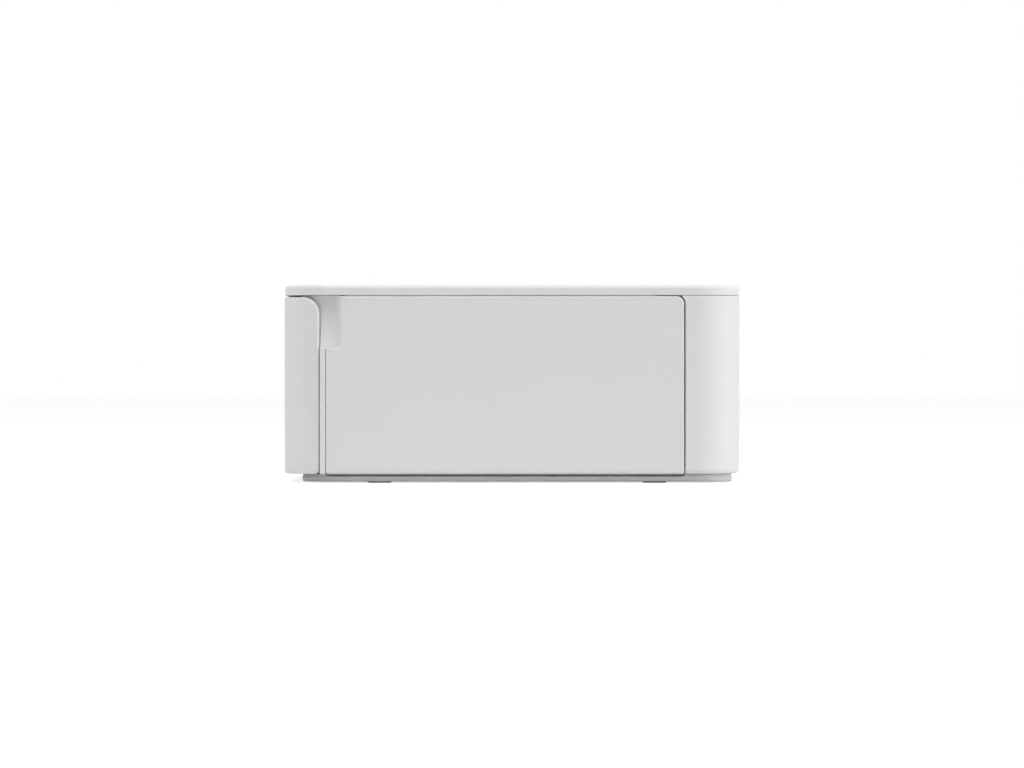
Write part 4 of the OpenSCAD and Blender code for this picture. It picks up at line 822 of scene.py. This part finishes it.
def make_cover():
    """The front cover wraps round both front corners and turns down on two hinges."""
    cover = Shape()
    cuts = corner_cuts(-FRONT_HALF - CORNER_L, FRONT_HALF)
    cover.slab([(cover_outline(False), panel_edge(COVER_SKIN, 0.01))], round_body, cuts)
    cover.slab([(cover_outline(True), inner_layer(COVER_SKIN))], round_body, cuts)
    hinge = HINGES["front_cover_hinge"]
    inside = -HALF_D + WALL
    for side in (-1, 1):
        x = side * COVER_HINGE_X
        left, right = x - COVER_KNUCKLE_HALF, x + COVER_KNUCKLE_HALF
        cover.disc((x, hinge.y, hinge.z), "x", COVER_KNUCKLE_R, left, right, 0.15, bore=0.8)
        knuckle_foot = hinge.z - COVER_KNUCKLE_R
        cover.brick((left, inside - 1, knuckle_foot), (right, hinge.y - 0.85, hinge.z + 0.6), 0.1)
        catch, catch_top = side * COVER_CATCH_X, COVER_HIGH.z - 2.6
        cover.brick((catch - 3, inside - 0.5, COVER_HIGH.z - 4), (catch + 3, inside + 2.2, catch_top), 0.2)
    cover.made("cover", "front_cover", "white_shell", "front_cover")


# ---------- the ink door ----------

DOOR_NOTCH_R = 1.7
DOOR_KNUCKLE_R = 1.3
DOOR_KNUCKLE_L = 4.0
POCKET_HALF = 1.65


def door_outline(rebate, notch_r):
    """The ink door's outline, with the finger notch at its upper front corner. Its inner layer stands back by
    the rebate where the frame's and the lid's lips reach behind its edge."""
    return rounded([
        (DOOR_FRONT + rebate, SKIRT, 0.5, 0.9), (DOOR_REAR, SKIRT, 0.6, 0.4),
        (DOOR_REAR, DOOR_TOP - rebate, DOOR_CORNER_R, 0.45), (NOTCH_Y + rebate, DOOR_TOP - rebate, 0.5, 1.3),
        (NOTCH_Y + rebate, NOTCH_Z - rebate, notch_r, 0.4),
        (DOOR_FRONT + rebate, NOTCH_Z - rebate, 0.4, 0.4)])


def make_door():
    """The ink door is flat, with pockets round its hinge inside."""
    door = Shape()
    place = flat_place((0, 1, 0), (0, 0, 1), (HALF_W, 0, 0))
    hinge = HINGES["ink_door_hinge"]
    knuckles = (SKIRT + 6.5, DOOR_HIGH.z - 10)
    door.slab([(door_outline(0, DOOR_NOTCH_R), skin_edge(DOOR_SKIN))], place)
    low_y, high_y = hinge.y - POCKET_HALF, hinge.y + POCKET_HALF
    pockets = [hole(block_outline(low_y, high_y, z - 0.35, z + 4.35, 0.2, 0.1)) for z in knuckles]
    layer = inner_layer(DOOR_SKIN)
    door.slab([(door_outline(REBATE, 0.2), layer)] + [(pocket, layer) for pocket in pockets], place)
    for z in knuckles:
        for low in (z - DOOR_KNUCKLE_L - FIT, z + DOOR_KNUCKLE_L + FIT):
            door.disc(hinge, "z", DOOR_KNUCKLE_R, low, low + DOOR_KNUCKLE_L, 0.12, bore=0.65)
    inside = HALF_W - WALL
    for z in (SKIRT + 11.35, DOOR_HIGH.z - 10.27):
        door.brick((inside - 1.2, DOOR_LOW.y + 12, z), (inside + 0.5, hinge.y - 9, z + 1.2), 0.2)
    latch = DOOR_LOW.y + 8
    door.brick((inside - 4.8, latch, SKIRT + 23.35), (inside + 0.5, latch + 1.5, SKIRT + 29.35), 0.3)
    door.made("door", "ink_door", "white_shell", "ink_door")


# ---------- the front frame ----------

GRIP_Z = NOTCH_Z + FIT / 2
GRIP_SHALLOW = DOOR_SKIN + 0.1
GRIP_DEEP = 2.5
GRIP_BACK = 4.0
GRIP_BLEND = 1.8
GRIP_EDGE = COVER_HIGH.y + 0.2
GRIP_STEP = 0.15
GRIP_FRONT = COVER_LOW.y + 3.5
RIM_Z = BASE_LOW.z + 4.0
RIM_CUT = BASE_HIGH.x - 2.7


def grip_depth(way, z):
    """Depth of the finger recess below the body's face. Its floor curves in towards the top, blends into the
    notch's rear edge, and drops behind the wall of the front cover."""
    rise = min(1, max(0, (z - NOTCH_Z) / (SHELL_TOP - NOTCH_Z)))
    blend = min(1, max(0, (right_way(NOTCH_Y + 0.1) - way) / GRIP_BLEND))
    floor = GRIP_SHALLOW + (GRIP_DEEP - GRIP_SHALLOW) * (1 - (1 - rise) ** 2) * math.sin(math.pi / 2 * blend)
    step = min(1, max(0, (way - way_at_front_corner(GRIP_EDGE)) / GRIP_STEP))
    return GRIP_DEEP + (floor - GRIP_DEEP) * step * step * (3 - 2 * step)


def steps_between(low, high, step):
    count = math.ceil((high - low) / step)
    return [low + (high - low) * k / count for k in range(count + 1)]


def frame_plate():
    """The frame's upright plate, with the base's rim let into its lower edge and the mouth for the paper."""
    inside = HALF_W - GRIP_DEEP - 0.5
    cut_z = RIM_Z + 0.2
    plate = rounded([(-HALF_W + 0.1, SKIRT, 0.1, 0.05), (-RIM_CUT, SKIRT, 0.05, 0.05),
                     (-RIM_CUT, cut_z, 0.2, 0.05), (RIM_CUT, cut_z, 0.2, 0.05),
                     (RIM_CUT, SKIRT, 0.05, 0.05), (HALF_W - 0.1, SKIRT, 0.1, 0.3),
                     (HALF_W - 0.1, GRIP_Z, 0.35, 0.1), (inside, GRIP_Z, 0.1, 0.1),
                     (inside, SHELL_TOP, 0.1, 0.1), (-HALF_W + 0.1, SHELL_TOP, 0.1, 0.1)])
    bay_low, bay_high = OPENINGS["paper_cassette_bay"]
    outlet_high = OPENINGS["print_outlet"][1]
    mouth = block_outline(bay_low.x - 0.5, bay_high.x + 0.5, bay_low.z - 0.3, outlet_high.z + 0.6, 0.6, 0.4)
    section = plain_edge(-PLATE_FRONT, -PLATE_REAR)
    return [(plate, section), (hole(mouth), section)]


def make_front_frame():
    frame_piece = Shape()
    frame_piece.slab(frame_plate(), FACING_FRONT)
    edge = way_at_front_corner(GRIP_EDGE)
    ways = (steps_between(way_at_front_corner(GRIP_FRONT), edge, 1.0)
            + steps_between(edge + GRIP_STEP, right_way(NOTCH_Y + LIP_W), 0.25))
    heights = steps_between(NOTCH_Z - LIP_W, NOTCH_Z, 0.4)[:-1] + steps_between(NOTCH_Z, SHELL_TOP, 0.5)
    frame_piece.relief(ways, heights, grip_depth, GRIP_BACK, round_body)
    lip_top = NOTCH_Z - LIP_W + 0.1
    frame_piece.brick((LIP_IN, PLATE_REAR - 0.2, SKIRT + 1), (LIP_OUT, DOOR_FRONT + LIP_W, lip_top), 0.1)
    frame_piece.disc((*FRAME_COLUMN, 0), "z", COLUMN_R, COLUMN_FOOT, SHELL_TOP, 0.2, bore=COLUMN_BORE)
    hinge = HINGES["front_cover_hinge"]
    for x in [side * COVER_HINGE_X + arm for side in (-1, 1) for arm in (-5, 5)]:
        frame_piece.disc((x, hinge.y, hinge.z), "x", COVER_KNUCKLE_R, x - 2, x + 2, 0.15, bore=0.77)
        arm_top = hinge.z + COVER_KNUCKLE_R
        frame_piece.brick((x - 2, hinge.y, arm_top - 1.2), (x + 2, PLATE_FRONT + 0.5, arm_top), 0.1)
    frame_piece.made("frame_plate", "casing", "white_shell", "front_frame")


# ---------- the base ----------

BASE_R = CORNER_R - 2
RIM_IN = 2.2
RIM_T = 1.4
PLINTH_H = 1.55
COLLAR_Z = SKIRT - 0.1
COLLAR_IN = 0.15
FLOOR_H = 1.6
RIM_BREAK = 6.3
SINK_R = 1.9
FOOT_HALF_X = 7
FOOT_HALF_Y = 3.5
FOOT_R = 1.5
FOOT_FIT = 0.05


def base_outline(inset, fillet):
    return block_outline(BASE_LOW.x + inset, BASE_HIGH.x - inset, BASE_LOW.y + inset, BASE_HIGH.y - inset,
                         BASE_R - inset, fillet)


def open_rim():
    """The rim round the floor, broken where the ink door's tail swings through."""
    x1, x0 = BASE_HIGH.x - RIM_IN, BASE_LOW.x + RIM_IN
    y0, y1 = BASE_LOW.y + RIM_IN, BASE_HIGH.y - RIM_IN
    outer_r, inner_r = BASE_R - RIM_IN, BASE_R - RIM_IN - RIM_T
    t = RIM_T
    hinge_y = HINGES["ink_door_hinge"].y
    gap_low, gap_high = hinge_y - RIM_BREAK, hinge_y + RIM_BREAK
    return rounded([
        (x1, gap_high, 0.05, 0.15), (x1, y1, outer_r, 0.15), (x0, y1, outer_r, 0.15), (x0, y0, outer_r, 0.15),
        (x1, y0, outer_r, 0.15), (x1, gap_low, 0.05, 0.05), (x1 - t, gap_low + 0.7, 0.05, 0.15),
        (x1 - t, y0 + t, inner_r, 0.15), (x0 + t, y0 + t, inner_r, 0.15), (x0 + t, y1 - t, inner_r, 0.15),
        (x1 - t, y1 - t, inner_r, 0.15), (x1 - t, gap_high - 0.7, 0.05, 0.05)])


def collar():
    """The plinth's upper part, which the shells sit on. It stays back under the ink door."""
    x1, x0 = BASE_HIGH.x - COLLAR_IN, BASE_LOW.x + COLLAR_IN
    y0, y1 = BASE_LOW.y + COLLAR_IN, BASE_HIGH.y - COLLAR_IN
    corner, back = BASE_R - COLLAR_IN, BASE_HIGH.x - RIM_IN + 0.5
    bend = math.asin((y0 + corner - DOOR_FRONT) / corner)
    turns = [math.pi / 2 + (bend - math.pi / 2) * k / 12 for k in range(13)]
    arc = [(x1 - corner + corner * math.cos(a), y0 + corner - corner * math.sin(a), 0.05, 0.1) for a in turns]
    corners = [(x1, y1, corner, 0.1), (x0, y1, corner, 0.1), (x0, y0, corner, 0.1)]
    return rounded([(x1, DOOR_REAR, 0.1, 0.1)] + corners + arc
                   + [(back, DOOR_FRONT, 0.1, 0.1), (back, DOOR_REAR, 0.1, 0.1)])


def foot_spots():
    low, high = size("feet")
    return [(x, y) for x in (low.x + FOOT_HALF_X, high.x - FOOT_HALF_X)
            for y in (low.y + FOOT_HALF_Y, high.y - FOOT_HALF_Y)]


def foot_outline(x, y, grow):
    return block_outline(x - FOOT_HALF_X - grow, x + FOOT_HALF_X + grow,
                         y - FOOT_HALF_Y - grow, y + FOOT_HALF_Y + grow, FOOT_R, 0.05)


def make_base():
    base = Shape()
    bottom = BASE_LOW.z
    step = bottom + PLINTH_H
    screws = COLUMNS + (FRAME_COLUMN,)
    sinks = [hole(circle(x, y, SINK_R, 0.1, 32)) for x, y in screws]
    feet = [hole(foot_outline(x, y, FOOT_FIT)) for x, y in foot_spots()]

    def plinth(r):
        return path([(0.2, step, 0), (0, step, 0.2), (0, bottom, r), (r, bottom, 0)])

    base.slab([(base_outline(0, 0.5), plinth)] + [(edge, plain_edge(step, bottom)) for edge in sinks + feet])
    upper = plain_edge(COLLAR_Z, step - 0.1)
    base.slab([(collar(), upper), (hole(base_outline(RIM_IN + RIM_T, 0.05)), upper)])
    floor = plain_edge(bottom + FLOOR_H, step - 0.1)
    base.slab([(base_outline(RIM_IN, 0.05), floor)])
    rim_foot = plain_edge(2.35, step)
    base.slab([(base_outline(RIM_IN, 0.05), rim_foot), (hole(base_outline(RIM_IN + RIM_T, 0.05)), rim_foot)])
    base.slab([(open_rim(), plain_edge(RIM_Z, 2.3, 0.05))])
    low, high = size("chassis_floor")
    for x, y in screws:
        base.disc((x, y, 0), "z", 2.4, bottom + FLOOR_H - 0.1, low.z, 0.1, 32, bore=1.1)
    for bar_y in (size("tie_bars")[0].y + 5, size("tie_bars")[1].y - 5):
        for x in (low.x + 9, high.x - 9):
            base.disc((x, bar_y, 0), "z", 3, bottom + FLOOR_H - 0.1, low.z, 0.1, 32)
    base.made("base", "casing", "base_plastic", "base_pan")


def make_feet():
    low, high = size("feet")
    feet = Shape()
    for x, y in foot_spots():
        feet.slab([(foot_outline(x, y, 0), plain_edge(high.z, low.z, 0.35))])
    feet.made("rubber_feet", "casing", "foot_rubber", "feet")


make_lid()
make_lens()
for key_node in ROUND_KEYS:
    make_round_key(key_node)
make_ok_key()
make_print_key()
make_ring()
make_housing()
make_battery_cover()
make_cover()
make_door()
make_front_frame()
make_base()
make_feet()


# ---------- stage, light and camera ----------

FLOOR_GLOW = 0.7
WORLD_LIGHT = 0.245


def area_light(name, azimuth, elevation, distance, width, power):
    """A square lamp aimed at the body. Its azimuth counts from the right side to the rear, in degrees."""
    lamp = bpy.data.lights.new(name, "AREA")
    lamp.size, lamp.energy = width, power
    made = bpy.data.objects.new(name, lamp)
    bpy.context.scene.collection.objects.link(made)
    turn, rise = math.radians(azimuth), math.radians(elevation)
    away = Vector((math.cos(turn) * math.cos(rise), math.sin(turn) * math.cos(rise), math.sin(rise)))
    made.location = away * distance + Vector((0, 0, 0.03))
    made.rotation_euler = away.to_track_quat("Z", "Y").to_euler()


def seen_rays(tree):
    """1 where a ray shows the background: to the camera, in gloss or through glass."""
    rays = tree.nodes.new("ShaderNodeLightPath")
    total = rays.outputs["Is Camera Ray"]
    for kind in ("Is Glossy Ray", "Is Transmission Ray"):
        most = tree.nodes.new("ShaderNodeMath")
        most.operation = "MAXIMUM"
        tree.links.new(total, most.inputs[0])
        tree.links.new(rays.outputs[kind], most.inputs[1])
        total = most.outputs["Value"]
    return total


world = bpy.data.worlds.new("studio")
bpy.context.scene.world = world
world.use_nodes = True
tree = world.node_tree
background = tree.nodes["Background"]
background.inputs["Color"].default_value = (1, 1, 1, 1)
tree.links.new(spread(tree, seen_rays(tree), WORLD_LIGHT, 1.0, 0, 1), background.inputs["Strength"])

bpy.ops.mesh.primitive_plane_add(size=30)
floor = bpy.context.object
floor.name = "floor"
sweep, tree, shader = node_tree("sweep")
shader.inputs["Roughness"].default_value = 0.9
shader.inputs["Base Color"].default_value = (0.78, 0.78, 0.78, 1)
glow = tree.nodes.new("ShaderNodeEmission")
tree.links.new(spread(tree, seen_rays(tree), 0, FLOOR_GLOW, 0, 1), glow.inputs["Strength"])
both = tree.nodes.new("ShaderNodeAddShader")
tree.links.new(shader.outputs[0], both.inputs[0])
tree.links.new(glow.outputs[0], both.inputs[1])
tree.links.new(both.outputs[0], tree.nodes["Material Output"].inputs["Surface"])
floor.data.materials.append(sweep)

area_light("rear_right", 74, 12, 1.3, 0.6, 5.9)
area_light("front", -85, 12, 1.3, 0.8, 3.95)
area_light("right", 0, 8, 1.5, 0.8, 0.5)
area_light("above", 10, 72, 1.3, 1.0, 12.3)

camera = bpy.data.cameras.new("camera")
camera.sensor_width = 36
camera.lens = 217.95
camera.clip_end = 100
view = bpy.data.objects.new("camera", camera)
bpy.context.scene.collection.objects.link(view)
view.location = (1.8911, 0, 0.0288)
view.rotation_euler = (math.pi / 2, 0, math.pi / 2)
bpy.context.scene.camera = view
bpy.context.scene.view_settings.view_transform = "Standard"
